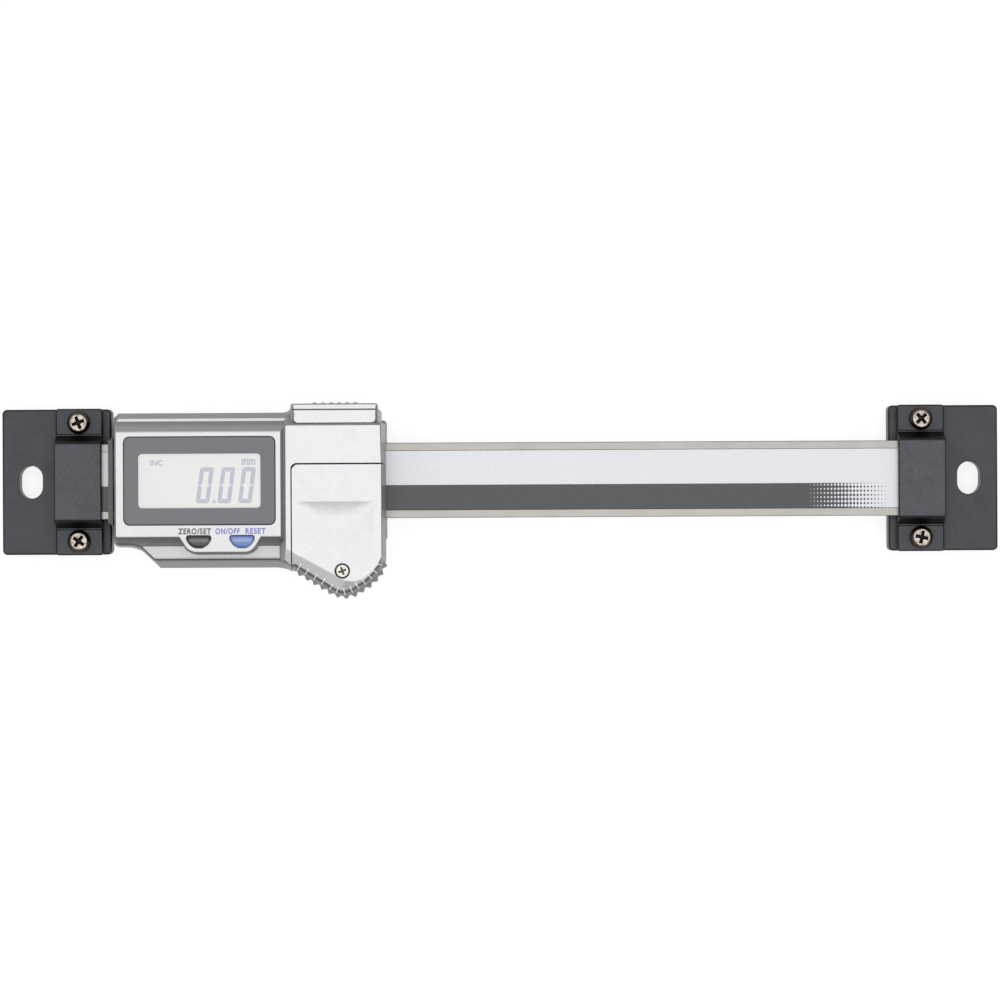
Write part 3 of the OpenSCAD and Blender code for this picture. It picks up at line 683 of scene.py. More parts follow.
def nickel(name="screw_nickel", base=(150, 140, 130), pale=(205, 196, 188), rough=(0.16, 0.32), rim=None):
    a = Mat(name, 0.24, 1.0)
    cloud = a.noise(a.scaled(1.0), 1500, 4)
    scratch = a.noise(a.scaled(9000, 900, 9000, rot=(0, 0, 0.6)), 1.0, 3)
    c = a.mix(a.remap(cloud, 0.35, 0.65, 0.0, 1.0), lin(*base), lin(*pale))
    if rim:  # painted shade round the rim of the head
        c = a.by_slope(c, a.mix(cloud, lin(*rim), lin(*(v + 24 for v in rim))), lin(*rim), (0.70, 0.93))
    a.colour(c)
    a.roughness(a.remap(cloud, 0.3, 0.7, *rough))
    a.bump(scratch, 0.15, 4e-6)
    return a.m


def moulded(name, base, pale, rough=(0.36, 0.5), grain=3200, depth=8e-6, strength=0.25, **fixed):
    """Moulded plastic or rubber with a fine spark-eroded grain."""
    a = Mat(name, 0.42, 0.0, **fixed)
    g = a.noise(a.scaled(1.0), grain, 3, 0.6)
    cloud = a.noise(a.scaled(1.0), 500, 3)
    c = a.mix(a.remap(g, 0.35, 0.65, 0.0, 1.0), lin(*base), lin(*pale))
    a.colour(a.mix(a.remap(cloud, 0.4, 0.7, 0.0, 0.2), c, lin(*(max(0, v - 10) for v in base))))
    a.roughness(a.remap(g, 0.3, 0.7, *rough))
    a.bump(g, strength, depth)
    return a.m


def scale_label():
    """Silver film with a dark band that breaks up into dots near the far bracket."""
    a = Mat("scale_label_print", 0.3, 0.25, Coat_Weight=0.25, Coat_Roughness=0.12)
    ax = a.axes()
    grain = a.noise(a.scaled(1.0), 5200, 3)
    cloud = a.noise(a.scaled(1.0), 90, 2)
    silver = a.mix(a.remap(grain, 0.35, 0.65, 0.0, 1.0), lin(192, 193, 196), lin(205, 206, 209))
    silver = a.mix(a.remap(cloud, 0.35, 0.7, 0.0, 0.2), silver, lin(190, 192, 195))
    dark = a.mix(a.remap(grain, 0.35, 0.65, 0.0, 1.0), lin(44, 46, 49), lin(54, 56, 59))
    band = a.math("LESS_THAN", ax["Y"], -0.00098)
    # a square halftone: the band opens into light dots, a chequer, then ever smaller dark dots
    def wave(axis, centre, pitch):
        turned = a.math("MULTIPLY", a.math("SUBTRACT", ax[axis], centre), 2 * math.pi / pitch)
        return a.math("COSINE", turned)

    screen = a.math("ADD", wave("X", 0.07295, 0.0007375), wave("Y", -0.0018, 0.00088))
    dots = a.math("GREATER_THAN", screen, a.remap(ax["X"], 0.0652, 0.0828, -2.05, 1.98))
    ink = a.math("MULTIPLY", band, dots)
    a.colour(a.mix(ink, silver, dark))
    a.roughness(a.remap(a.noise(a.scaled(1.0), 3000, 3), 0.3, 0.7, 0.26, 0.36))
    a.bump(grain, 0.12, 4e-6)
    return a.m


def window_print():
    a = Mat("window_grey_print", 0.3, 0.0, Coat_Weight=0.5, Coat_Roughness=0.16)
    g = a.noise(a.scaled(1.0), 7000, 3)
    cloud = a.noise(a.scaled(1.0), 60, 2)
    c = a.mix(a.remap(g, 0.3, 0.7, 0.0, 1.0), lin(80, 82, 87), lin(87, 89, 94))
    a.colour(a.mix(a.remap(cloud, 0.3, 0.7, 0.0, 0.3), c, lin(77, 79, 84)))
    a.roughness(a.remap(g, 0.3, 0.7, 0.28, 0.38))
    a.bump(g, 0.08, 3e-6)
    return a.m


def lcd_face():
    a = Mat("lcd_reflector", 0.35, 0.0, Coat_Weight=0.4, Coat_Roughness=0.1)
    g = a.noise(a.scaled(1.0), 9000, 2)
    cloud = a.noise(a.scaled(1.0), 70, 2)
    c = a.mix(a.remap(g, 0.3, 0.7, 0.0, 1.0), lin(217, 217, 216), lin(224, 224, 222))
    a.colour(a.mix(a.remap(cloud, 0.3, 0.7, 0.0, 0.5), c, lin(213, 214, 214)))
    a.roughness(a.remap(g, 0.3, 0.7, 0.3, 0.4))
    return a.m


def key_plastic(name, pale, base, deep, above, below):
    """Glossy moulded key with a painted highlight along the middle of its crown, darker rows above and below, and
    painted shade at the rim.
    """
    a = Mat(name, 0.3, 0.0, Coat_Weight=0.5, Coat_Roughness=0.16)
    g = a.remap(a.noise(a.scaled(1.0), 5200, 3), 0.3, 0.7, 0.0, 1.0)

    def tone(v):
        return a.mix(g, lin(*v), lin(*(min(255, w + 8) for w in v)))

    y = a.axes()["Y"]
    crown = a.mix(a.remap(y, -0.0130, -0.0126, 0.0, 1.0, True), tone(below), tone(pale))
    crown = a.mix(a.remap(y, -0.0124, -0.0120, 0.0, 1.0, True), crown, tone(above))
    a.colour(a.by_slope(crown, tone(base), tone(deep), (0.80, 0.998), (0.1, 0.6)))
    a.roughness(a.remap(g, 0.0, 1.0, 0.2, 0.32))
    a.bump(g, 0.12, 4e-6)
    return a.m


def ink(name, rgb):
    a = Mat(name, 0.5, 0.0)
    g = a.noise(a.scaled(1.0), 8000, 2)
    a.colour(a.mix(a.remap(g, 0.3, 0.7, 0.0, 1.0), lin(*rgb), lin(*(min(255, v + 8) for v in rgb))))
    a.roughness(a.remap(g, 0.3, 0.7, 0.42, 0.55))
    return a.m


def board_mask():
    a = Mat("board_solder_mask", 0.4, 0.0, Coat_Weight=0.3, Coat_Roughness=0.2)
    g = a.noise(a.scaled(900, 300, 900), 1.0, 3)
    a.colour(a.mix(a.remap(g, 0.4, 0.6, 0.0, 1.0), lin(24, 92, 52), lin(38, 118, 70)))
    a.roughness(a.remap(g, 0.3, 0.7, 0.3, 0.45))
    return a.m


PX = HX + 38.65  # parting plane between the case and the cover
SILVER = silver_paint()
SILVER_GRIP = silver_paint("silver_cover_paint", grip=1.0, right=-2)
# painted highlight on the fine ridges over the finger grips
SILVER_CREST_HIGHLIGHT = silver_paint("silver_crest_painted_highlight", (226, 236), (214, 224), (206, 216), (160, 170), (160, 170))
BLACK = black_coat()
CLAMP_BLACK = black_coat("clamp_black_coat", (62, 63, 68), (81, 82, 88), (3, 3, 4), (0.3, 0.44), step=0.0078)
# painted shade inside the cross recesses of the screw heads
RECESS_PALE = black_coat("recess_grey_painted_shade", (92, 88, 83), (120, 115, 109), (64, 61, 57), (0.4, 0.6))
RECESS = black_coat("recess_dark_painted_shade", (16, 15, 14), (26, 24, 22), (8, 8, 8), (0.5, 0.7))
STEEL = brushed_steel()
ALLOY = machined("slider_machined_alloy", (140, 141, 143), (164, 165, 167), (0.42, 0.56), 0.55)
# painted shade: the left end cap is given a darker grey than the right one
CAP = moulded("end_cap_painted_shade_plastic", (82, 82, 80), (93, 93, 91))
CAP_RIGHT = moulded("end_cap_silver_plastic", (126, 126, 127), (140, 140, 141))
SCREW = nickel("clamp_screw_nickel", (120, 110, 102), (180, 170, 160), (0.14, 0.3), (52, 46, 40))
COVER_NICKEL = nickel("cover_screw_nickel", (165, 160, 152), (196, 191, 184), (0.16, 0.3))
BRIGHT = nickel("small_screw_nickel", (196, 190, 182), (226, 221, 214), (0.12, 0.24))
RUBBER = moulded("black_rubber", (24, 24, 25), (34, 34, 36), (0.55, 0.75), 2600, 1.4e-5)
DARK_GAP = moulded("gap_black_rubber", (26, 26, 28), (34, 34, 36), (0.6, 0.75), 2600, 1e-5)
LABEL = scale_label()
LAMINATE = moulded("scale_laminate_green", (60, 78, 52), (76, 94, 66))
WINDOW = window_print()
LCD = lcd_face()
LCD_INK = ink("lcd_segment_ink", (175, 179, 191))
LABEL_DARK = ink("key_label_dark_ink", (78, 78, 82))
LABEL_BLUE = ink("key_label_blue_ink", (112, 121, 184))
KEY_BLACK = key_plastic("key_black_plastic", (80, 80, 83), (34, 34, 37), (16, 16, 18), (18, 18, 20), (12, 12, 13))
KEY_BLUE = key_plastic("key_blue_plastic", (122, 141, 188), (78, 102, 162), (52, 74, 126), (109, 131, 184), (80, 108, 166))
BRONZE = machined("gib_bronze", (168, 124, 78), (196, 152, 104))
BOARD = board_mask()
PLASTIC = moulded("black_plastic", (26, 26, 28), (38, 38, 40))
PARTS = moulded("component_tan", (150, 128, 96), (176, 154, 120))
SPRING = nickel("spring_metal", (196, 170, 120), (222, 200, 152))
WHITE = moulded("white_plastic", (214, 214, 210), (226, 226, 222))
CELL = nickel("cell_plated_steel", (186, 187, 190), (216, 217, 220))

# a material for every CAD node, shown or not
FINISH = {
    "scale_beam": STEEL, "scale_board": LAMINATE, "scale_film": LABEL, "left_bracket": BLACK, "right_bracket": BLACK,
    "left_clamp": CLAMP_BLACK, "right_clamp": CLAMP_BLACK, "left_clamp_screws": SCREW, "right_clamp_screws": SCREW,
    "slider_frame": ALLOY, "left_end_cap": CAP, "right_end_cap": CAP_RIGHT, "left_wiper": RUBBER, "right_wiper": RUBBER,
    "gib_strip": BRONZE, "gib_screws": BRIGHT, "sensor_board": BOARD, "main_board": BOARD, "board_screws": BRIGHT,
    "measuring_chip": PLASTIC, "board_parts": PARTS, "key_domes": SPRING, "key_membrane": RUBBER, "zebra_strips": RUBBER,
    "lcd_frame": WHITE, "lcd_panel": LCD, "window_seal": RUBBER, "window": WINDOW, "front_case": SILVER,
    "case_gasket": RUBBER, "case_screws": BRIGHT, "output_connector": PLASTIC, "connector_pins": SPRING,
    "battery_tray": PLASTIC, "battery_contact_minus": SPRING, "battery_contact_plus": SPRING, "battery": CELL,
    "cover_seal": RUBBER, "cover": SILVER, "cover_screw": BRIGHT, "zero_key": KEY_BLACK, "origin_key": KEY_BLUE,
    "end_cap_screws": BRIGHT,
}
for name, obj in nodes.items():
    obj.data.materials.clear()
    obj.data.materials.append(FINISH[name])
    obj.data.polygons.foreach_set("material_index", [0] * len(obj.data.polygons))


def soften(name, width, angle=30, segments=2):
    """Breaks the sharp edges of a CAD node that shows."""
    obj = nodes[name]
    w = obj.modifiers.new("weld", "WELD")
    w.merge_threshold = 1e-6
    d = obj.modifiers.new("flats", "DECIMATE")
    d.decimate_type = "DISSOLVE"
    d.angle_limit = math.radians(0.5)
    b = obj.modifiers.new("edges", "BEVEL")
    b.width = width * 0.001
    b.segments = segments
    b.limit_method = "ANGLE"
    b.angle_limit = math.radians(angle)
    b.harden_normals = True
    b.use_clamp_overlap = True


# --------------------------------------------------------------------- beam
b_lo, b_hi = lo("scale_beam"), hi("scale_beam")
f_lo, f_hi = lo("scale_film"), hi("scale_film")
gw = f_hi[1] + 0.05  # half width of the groove
beam_profile = rounded([
    (b_lo[1], b_lo[2], 0.25), (b_hi[1], b_lo[2], 0.25), (b_hi[1], b_hi[2], 0.22), (gw, b_hi[2], 0.05),
    (gw, b_hi[2] - 1, 0.02), (-gw, b_hi[2] - 1, 0.02), (-gw, b_hi[2], 0.05), (b_lo[1], b_hi[2], 0.22)])
beam = slab(beam_profile, b_lo[0], b_hi[0], r=0.12, r_foot=0.12).make("beam_bar", STEEL, "beam", turn=ALONG_X)
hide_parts("scale_beam")

film = slab(rounded(rect(f_lo[0], f_lo[1], f_hi[0], f_hi[1], 0.3)), f_lo[2], f_hi[2], r=0.06, arc=3)
film = film.make("scale_label", LABEL, "beam")
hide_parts("scale_film")

# ----------------------------------------------------------------- brackets
for side, s in (("left", -1), ("right", 1)):
    p, q = lo(side + "_bracket"), hi(side + "_bracket")
    hole = {"loop": slot_loop(s * 100.0, 0, 5.0, 7.0), "through": True, "r": 0.15, "r_low": 0.15}
    plate = slab(rounded(rect(p[0], p[1], q[0], q[1], 1.0)), p[2], q[2], r=0.5, r_foot=0.3, holes=[hole])
    plate = plate.make(side + "_end_plate", BLACK, "beam")
    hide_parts(side + "_bracket")

    p, q = lo(side + "_clamp"), hi(side + "_clamp")
    t, iw = 1.6, 8.05
    ow, z0, top = iw + t, p[2], q[2]
    ez = z0 + t
    prof = rounded([
        (-10.2, z0, 0.15), (-iw, z0, 0.12), (-iw, Z_BEAM, 0.25), (iw, Z_BEAM, 0.25), (iw, z0, 0.12), (10.2, z0, 0.15),
        (10.2, ez, 0.35), (ow + 0.1, ez, 0.5), (8.35, top, 1.1), (-8.35, top, 1.1), (-ow - 0.1, ez, 0.5), (-10.2, ez, 0.35)], seg=7)
    hat = slab(prof, p[0], q[0], r=0.3, r_foot=0.3)
    hat.v = [v @ ALONG_X.T for v in hat.v]
    hat.n = [tuple(ALONG_X @ w for w in face) for face in hat.n]
    for k in (1, -1):
        ear = rounded(rect(p[0], min(k * 9.95, k * q[1]), q[0], max(k * 9.95, k * q[1]), 0.6))
        hat = slab(ear, z0, ez, r=0.4, r_foot=0.12, shape=hat)
    hat = hat.make(side + "_beam_clamp", CLAMP_BLACK, "beam")
    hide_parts(side + "_clamp")


def cross(x, y, width, length, turn):
    """1 well inside a cross recess, 0 outside it."""
    c, s = math.cos(turn), math.sin(turn)
    u, v = x * c + y * s, -x * s + y * c
    u, v = np.abs(u), np.abs(v)
    a = np.minimum(length / 2 - u, width / 2 - v)
    b = np.minimum(length / 2 - v, width / 2 - u)
    return np.maximum(a, b)


def pan_head(radius, height, recess_w, recess_l, depth, turn, crown=0.66, drop=0.5):
    """A pan head: slightly domed top, well rounded rim, tapered cross recess painted dark inside as painted shade."""
    def well(x, y):
        d = cross(x, y, recess_w, recess_l, turn)
        return smax(d, 0.8 * recess_w - np.hypot(x, y), 0.1)

    def top(x, y):
        r = np.hypot(x, y) / radius
        dome = height * (1 - 0.1 * r**2 - drop * np.clip(r - crown, 0, 1) ** 2 / (1 - crown) ** 2)
        return dome - depth * np.clip(well(x, y) / (recess_w * 0.22), 0, 1)

    return relief(top, circle(0, 0, radius, 72), 0.0, r=radius * 0.09, pick=lambda x, y: (well(x, y) > 0.01).astype(int),
                  cells={"root": radius / 8, "least": radius / 60, "tol": 0.004})


for side, s in (("left", -1), ("right", 1)):
    p, q = lo(side + "_clamp_screws"), hi(side + "_clamp_screws")
    seat = lo(side + "_clamp")[2] + 1.6
    cx = (p[0] + q[0]) / 2
    for k, t in ((1, 0.55), (-1, 1.15)):
        cy = k * (q[1] - 2.42)
        head = pan_head(2.42, 1.95, 0.72, 2.75, 1.25, t + s * 0.2)
        name = side + ("_upper" if k > 0 else "_lower") + "_clamp_screw"
        head = head.make(name, [SCREW, RECESS], "beam", move=(cx, cy, seat))
        if k > 0:
            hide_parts(side + "_clamp_screws")

# ---------------------------------------------------------------- the head
PY = 3.54
GAP = 0.115
SEAM = 0.085
GRIP_R = 0.7


def local(pts):
    return [(HX + p[0], *p[1:]) for p in pts]


# upper outline and foot outline of the case, matched corner by corner
case_top = [
    (-80.8, -13.5, 0.9), (-77.6, -13.52, 3), (-75.7, -13.95, 3), (-72.9, -16.65, 0.6), (-47.0, -16.65, 2.5),
    (-45.8, -16.95, 1.5), (PX - SEAM, -17.85, 0.1), (PX - SEAM, PY + GAP, 1.25), (-24.82, PY + GAP, 0.1),
    (-25.0, 11.9, 0.4), (-25.6, 12.3, 0.4), (-25.6, 14.2, 0.3), (-25.65, 14.9, 0.3), (-25.7, 16.15, 0.5),
    (-43.7, 16.15, 0.5), (-43.95, 14.8, 0.8), (-45.0, 13.4, 1.2), (-80.3, 13.4, 0.4), (-80.8, 12.8, 0.4)]
case_foot = [
    (-81.9, -13.9, 1.2), (-78.4, -13.98, 3), (-76.2, -14.5, 4), (-72.1, -18.35, 0.6), (-47.0, -18.35, 4),
    (-45.2, -18.7, 3), (PX - SEAM, -19.3, 0.1), (PX - SEAM, PY + GAP, 1.25), (-24.2, PY + GAP, 0.1),
    (-24.2, 12.1, 0.5), (-25.05, 12.6, 0.5), (-25.05, 14.6, 0.4), (-25.75, 15.2, 0.4), (-25.8, 16.42, 0.6),
    (-44.4, 16.42, 0.6), (-44.5, 15.0, 1.0), (-45.8, 14.5, 1.0), (-80.9, 14.5, 0.4), (-81.9, 13.5, 0.4)]
cp = rounded(case_top, seg=8, step=0.22)
cf = rounded(case_foot, plan=cp[2])
# finger ribs on the upper wall
grow = np.zeros(len(cf[0]))
for i in range(6):
    d = (cf[0][:, 0] - (HX + 43.3 + 1.72 * i)) / 0.5
    grow = np.maximum(grow, np.where((np.abs(d) < 1) & (cf[0][:, 1] > 16), np.sqrt(np.clip(1 - d * d, 0, 1)), 0))
cf = (cf[0] + cf[1] * 0.24 * grow[:, None], cf[1], cf[2])

display = Profile([(-40, 14.9), (-13.6, 14.9, 0.3), (-11.95, 17.8, 1.1), (10.95, 17.8, 1.8), (12.5, 15.12, 0.4), (13.5, 15.0, 0.2), (40, 15.0)])
apron, _, _ = rounded([(-68.3, -10.4, 0.3), (-65.3, -14.95, 3.0), (-52.2, -14.95, 2.4), (-49.3, -10.4, 0.3)], seg=6)
bevel_edge = np.array([
    (-60, -5.95), (-35.04, -19.52), (-32.6, -20.85), (-30.84, -21.1), (-29.16, -20.6), (-27.4, -19.2), (-26.0, -17.64),
    (-24.9, -16.0), (-24.5, -10), (-24.5, 60), (-60, 60)])
vee_edge = np.array([(-60, -7.7), (PX, -17.8), (-35.0, -23.2), (-30, -24), (-24, -20), (-24, 60), (-60, 60)])


def vee_face(x, y):
    """The plane of the right-hand section with the bevels above the finger grips."""
    d = away(x, y, bevel_edge)
    return Z_FACE - 0.285 * smax(d, 0 * d, 0.25)


brand_loop, _, _ = rounded(rect(-45.08, -60, -5, 11.64, 0.5), seg=10)
block_loop, _, _ = rounded(rect(-43.3, 12.1, -26.0, 60, 0.9), seg=10)


def case_surface(x, y):
    x, y = np.asarray(x, float), np.asarray(y, float)
    base = display(y)
    near = (y < -9) & (x > -70) & (x < -47)
    if near.any():
        d = np.where(near, away(x, y, apron), 50.0)
        base = np.where(near, np.minimum(smax(base, Z_FACE - 6.6 * smax(d, 0 * d, 0.12), 0.12), Z_FACE), base)
    left = smin(base, Z_FACE - 1.3 * (x + 46.02), 0.2)
    d = away(x, y, brand_loop)
    steep = 2.2 - 1.1 * sstep(-45.35, -44.95, x)
    right = np.minimum(vee_face(x, y), Z_FACE - steep * smax(d, 0 * d, 0.14))
    over = away(x, y, vee_edge)
    right = smin(right, 17.15 - 2.6 * over, 0.2)
    d = away(x, y, block_loop)
    block = Z_FACE - (1.1 + 1.2 * sstep(11.9, 12.5, y)) * smax(d, 0 * d, 0.14)
    block = np.minimum(block, Z_FACE - 0.13 * smax(y - 14.93, 0 * y, 0.1))
    block = block - 0.3 * np.exp(-(((y - 14.93) / 0.075) ** 2))
    t = smax(left, right, 0.12)
    t = np.minimum(smax(t, block, 0.12), Z_FACE)
    return np.maximum(t, 14.9)


def pocket(x0, y0, x1, y1, r, step=2.0):
    return rounded(rect(x0, y0, x1, y1, r), seg=8, step=step)


KEYS = []
for name in ("zero_key", "origin_key"):
    a, b = lo(name), hi(name)
    KEYS.append(((a[0] + b[0]) / 2, b[1] - 0.3, b[2]))


def half_moon(cx, top, grow_=0.0):
    w, h = 2.56 + grow_, 2.5 + grow_
    top = top - 0.08
    return rounded([
        (cx - w + 0.1, top + grow_, 0.5), (cx - w, top - 0.75, 0.9), (cx - 1.9, top - 1.95, 1.6), (cx - 0.85, top - h, 1.7),
        (cx + 0.85, top - h, 1.7), (cx + 1.9, top - 1.95, 1.6), (cx + w, top - 0.75, 0.9), (cx + w - 0.1, top + grow_, 0.5)], seg=9)


holes = [{"loop": pocket(W_LOW[0] + 0.06, W_LOW[1] - 0.14, W_HIGH[0] + 0.14, W_HIGH[1] - 0.12, 1.3), "deep": True, "r": 0.1}]
for cx, top, _z in KEYS:
    holes.append({"loop": half_moon(cx, top, 0.1), "deep": True, "r": 0.07})
flange = rounded(local([
    (1.05, -12.65, 0.3), (5.4, -13.35, 0.3), (8.2, -14.85, 0.3), (10.9, -17.6, 0.3), (38.35, -17.5, 0.3), (38.35, 3.9, 0.3),
    (57.3, 3.9, 0.3), (57.3, 11.6, 0.3), (56.4, 14.2, 0.3), (38.6, 14.2, 0.3), (2.1, 13.8, 0.3), (1.05, 12.9, 0.3)]))
inside = rounded(local([
    (2.6, -10.8, 0.3), (13.8, -10.8, 0.3), (13.8, -15.6, 0.3), (34, -15.6, 0.3), (34, -10.8, 0.3), (38.2, -10.8, 0.3),
    (38.2, 4.1, 0.3), (55, 4.1, 0.3), (55, 11, 0.3), (2.6, 11, 0.3)]))
px, py = cp[0][:, 0], cp[0][:, 1]
edge_r = np.full(len(px), 0.26)
edge_r[(py < -12) & (px < -45)] = 0.5
edge_r[(px > PX - 0.3) & (py < PY + 0.3)] = 0.085
edge_r[(np.abs(py - PY - GAP) < 0.2)] = 0.085
for _ in range(4):
    edge_r = (np.roll(edge_r, 1) + edge_r + np.roll(edge_r, -1)) / 3
case = relief(case_surface, cp, Z_FOOT, foot=cf, r=edge_r, holes=holes, under=[(flange, 9.86), (inside, 14.0)],
              cells={"root": 1.6, "least": 0.1, "tol": 0.004, "fine": [(-43.6, 14.7, -25.7, 15.15, 0.05)]})
case = case.make("case_shell", SILVER, "head")
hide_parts("front_case")

# --------------------------------------------------------------- the cover
c_top = [
    (PX + SEAM, -17.75, 0.1), (-35.0, -23.2, 1.5), (-33.2, -23.95, 1.8), (-31.0, -23.3, 2), (-28.4, -21.6, 3), (-26.5, -19.8, 3),
    (-25.25, -18.0, 2), (-24.82, -16.0, 2), (-24.82, PY - GAP, 0.1), (PX + SEAM, PY - GAP, 1.2)]
c_foot = [
    (PX + SEAM, -19.15, 0.1), (-35.4, -24.25, 1.5), (-33.1, -24.85, 2.2), (-30.6, -24.3, 2.4), (-27.6, -22.4, 3), (-25.5, -20.4, 3),
    (-24.4, -18.3, 2), (-24.2, -16.0, 2), (-24.2, PY - GAP, 0.1), (PX + SEAM, PY - GAP, 1.2)]
vp = rounded(c_top, seg=4, step=0.16)
vf = rounded(c_foot, plan=vp[2])
# finger grips: lobes along the lower wall, each one carried up over the bevel as a fine ridge
run = np.r_[0, np.cumsum(np.hypot(*np.diff(vf[0], axis=0).T))]
grip = (vf[0][:, 1] < -17.6) & (vf[0][:, 0] > PX + 0.3)
first = run[grip].min() + 1.02
count = 13
pitch = (run[grip].max() - first - 0.35) / (count - 1)
phase = (run - first) / pitch
near = np.clip(np.round(phase), 0, count - 1)
u = phase - near
lobe = np.where(np.abs(u) <= 0.5, 0.5 + 0.5 * np.cos(2 * np.pi * u), 0) ** 1.15 * grip
vf_n = vf[1].copy()
shifted = vf[0] + vf[1] * (0.62 * lobe - 0.28 * grip)[:, None]
t = np.roll(shifted, -1, 0) - np.roll(shifted, 1, 0)
t /= np.maximum(np.hypot(*t.T), 1e-9)[:, None]
vf_n[grip] = np.c_[t[:, 1], -t[:, 0]][grip]


# depth of the thumb scoop below its brow: steep at the brow, easing off, then a slow rise to nothing
SCOOP_AT = np.linspace(-1.0, 12.0, 1301)
fall = 0.252 * sstep(-0.62, 0.25, SCOOP_AT) * (1 - 0.13 * np.maximum(SCOOP_AT, 0)) * (1 - sstep(2.5, 3.9, SCOOP_AT))
SCOOP = np.cumsum(fall) * 0.01
SCOOP = SCOOP * (1 - sstep(3.6, 12.0, SCOOP_AT))


def cover_surface(x, y):
    x, y = np.asarray(x, float), np.asarray(y, float)
    z = vee_face(x, y)
    # thumb scoop: a soft straight brow, then a floor that comes up again slowly; shallower towards both ends
    below = -4.42 - y
    u = np.clip(np.abs(x + 34.7) / (9.1 - 0.9 * sstep(0, 2.5, below)), 0, 1)
    return z - np.interp(below, SCOOP_AT, SCOOP) * (1 - u ** (3.2 + 9 * np.exp(-np.maximum(below, 0) / 1.2))) ** 1.2


s_lo, s_hi = lo("cover_screw"), hi("cover_screw")
SCX, SCY = (s_lo[0] + s_hi[0]) / 2, (s_lo[1] + s_hi[1]) / 2
screw_hole = {"loop": circle(SCX, SCY, 1.58, 64), "z": 16.65, "r": 0.12}
c_flange = rounded(local([
    (38.95, -17.7, 0.3), (49.3, -22.95, 0.3), (55.3, -18.65, 0.3), (57.05, -15.25, 0.3), (57.2, 3.1, 0.3), (38.95, 3.1, 0.3)]))
c_inside = rounded(local([(39.9, -15.2, 0.5), (55.4, -15.2, 0.5), (55.4, 2.3, 0.5), (39.9, 2.3, 0.5)]))
px, py = vp[0][:, 0], vp[0][:, 1]
edge_r = np.full(len(px), 0.26)
edge_r[(py < -16.8) & (px > PX + 0.2)] = GRIP_R
edge_r[px < PX + 0.2] = 0.085
edge_r[py > PY - 0.3] = 0.085
for _ in range(4):
    edge_r = (np.roll(edge_r, 1) + edge_r + np.roll(edge_r, -1)) / 3
cover = relief(cover_surface, vp, 8.9, foot=(shifted, vf_n, vf[2]), r=edge_r, holes=[screw_hole],
               under=[(c_flange, 9.9), (c_inside, 16.2)], cells={"root": 1.6, "least": 0.1, "tol": 0.004})
for k in range(count):
    i = int(np.argmin(np.abs(run - (first + pitch * k))))
    out_, side_ = vp[1][i], np.array([-vp[1][i][1], vp[1][i][0]])
    a, b = vp[0][i] + out_ * 0.34, vp[0][i] - out_ * 1.3

    def ridge(x, y, a=a, b=b):
        e = np.clip((-away(x, y, vp[0]) + 0.36) / (GRIP_R + 0.36), 0, 1)
        drop = 0.85 * (1 - np.sqrt(np.maximum(1 - 0.96 * (1 - e) ** 2, 0)))
        far = np.hypot(x - b[0], y - b[1])
        return cover_surface(x, y) - drop + 0.09 * sstep(0, 0.5, far)

    bar = rounded([(*(a + side_ * 0.13), 0.1), (*(b + side_ * 0.1), 0.09), (*(b - side_ * 0.1), 0.09), (*(a - side_ * 0.13), 0.1)], seg=30, step=0.12)
    if ((np.roll(bar[0], -1, 0) - bar[0])[:, 1] * bar[0][:, 0]).sum() < 0:
        bar = rounded([(*(a - side_ * 0.13), 0.1), (*(b - side_ * 0.1), 0.09), (*(b + side_ * 0.1), 0.09), (*(a + side_ * 0.13), 0.1)], seg=30, step=0.12)
    cover = relief(ridge, bar, 14.9, r=0.05, arc=2, mat=1, shape=cover)
cover = cover.make("battery_cover", [SILVER_GRIP, SILVER_CREST_HIGHLIGHT], "head")
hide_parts("cover")

head = pan_head(1.46, s_hi[2] - 16.65 + 0.12, 0.42, 1.7, 0.42, 0.35, 0.84, 0.3)
head = head.make("cover_screw_head", [COVER_NICKEL, RECESS_PALE], "head", move=(SCX, SCY, 16.66))
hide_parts("cover_screw")

# -------------------------------------------------------- window and display
win_top = W_HIGH[2] - 0.12
glass = [(-76.9, -5.7), (-50.8, 5.95)]
k = 1.0114
gx0, gx1, gy0, gy1 = -76.9 / k, -50.8 / k, -4.3 + (-5.72 + 4.3) / k, -4.3 + (5.95 + 4.3) / k
frame_loop = pocket(W_LOW[0] + 0.16, W_LOW[1], W_HIGH[0], W_HIGH[1] - 0.22, 1.2)
opening = {"loop": pocket(gx0, gy0, gx1, gy1, 0.85), "through": True, "r": 0.05}
win = slab(frame_loop, W_LOW[2], win_top, r=0.08, holes=[opening]).make("window_frame", WINDOW, "head")
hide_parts("window")

p_lo, p_hi = lo("lcd_panel"), hi("lcd_panel")
lcd_top = W_LOW[2] + 0.25
face = slab(rounded(rect(gx0 - 0.35, gy0 - 0.35, gx1 + 0.35, gy1 + 0.35, 0.5)), p_lo[2] + 0.3, lcd_top - 0.4, r=0.05)
face = slab(rounded(rect(gx0 + 0.02, gy0 + 0.02, gx1 - 0.02, gy1 - 0.02, 0.82)), lcd_top - 0.38, lcd_top, r=0.03, shape=face)
face = face.make("lcd_face", LCD, "head")
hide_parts("lcd_panel")


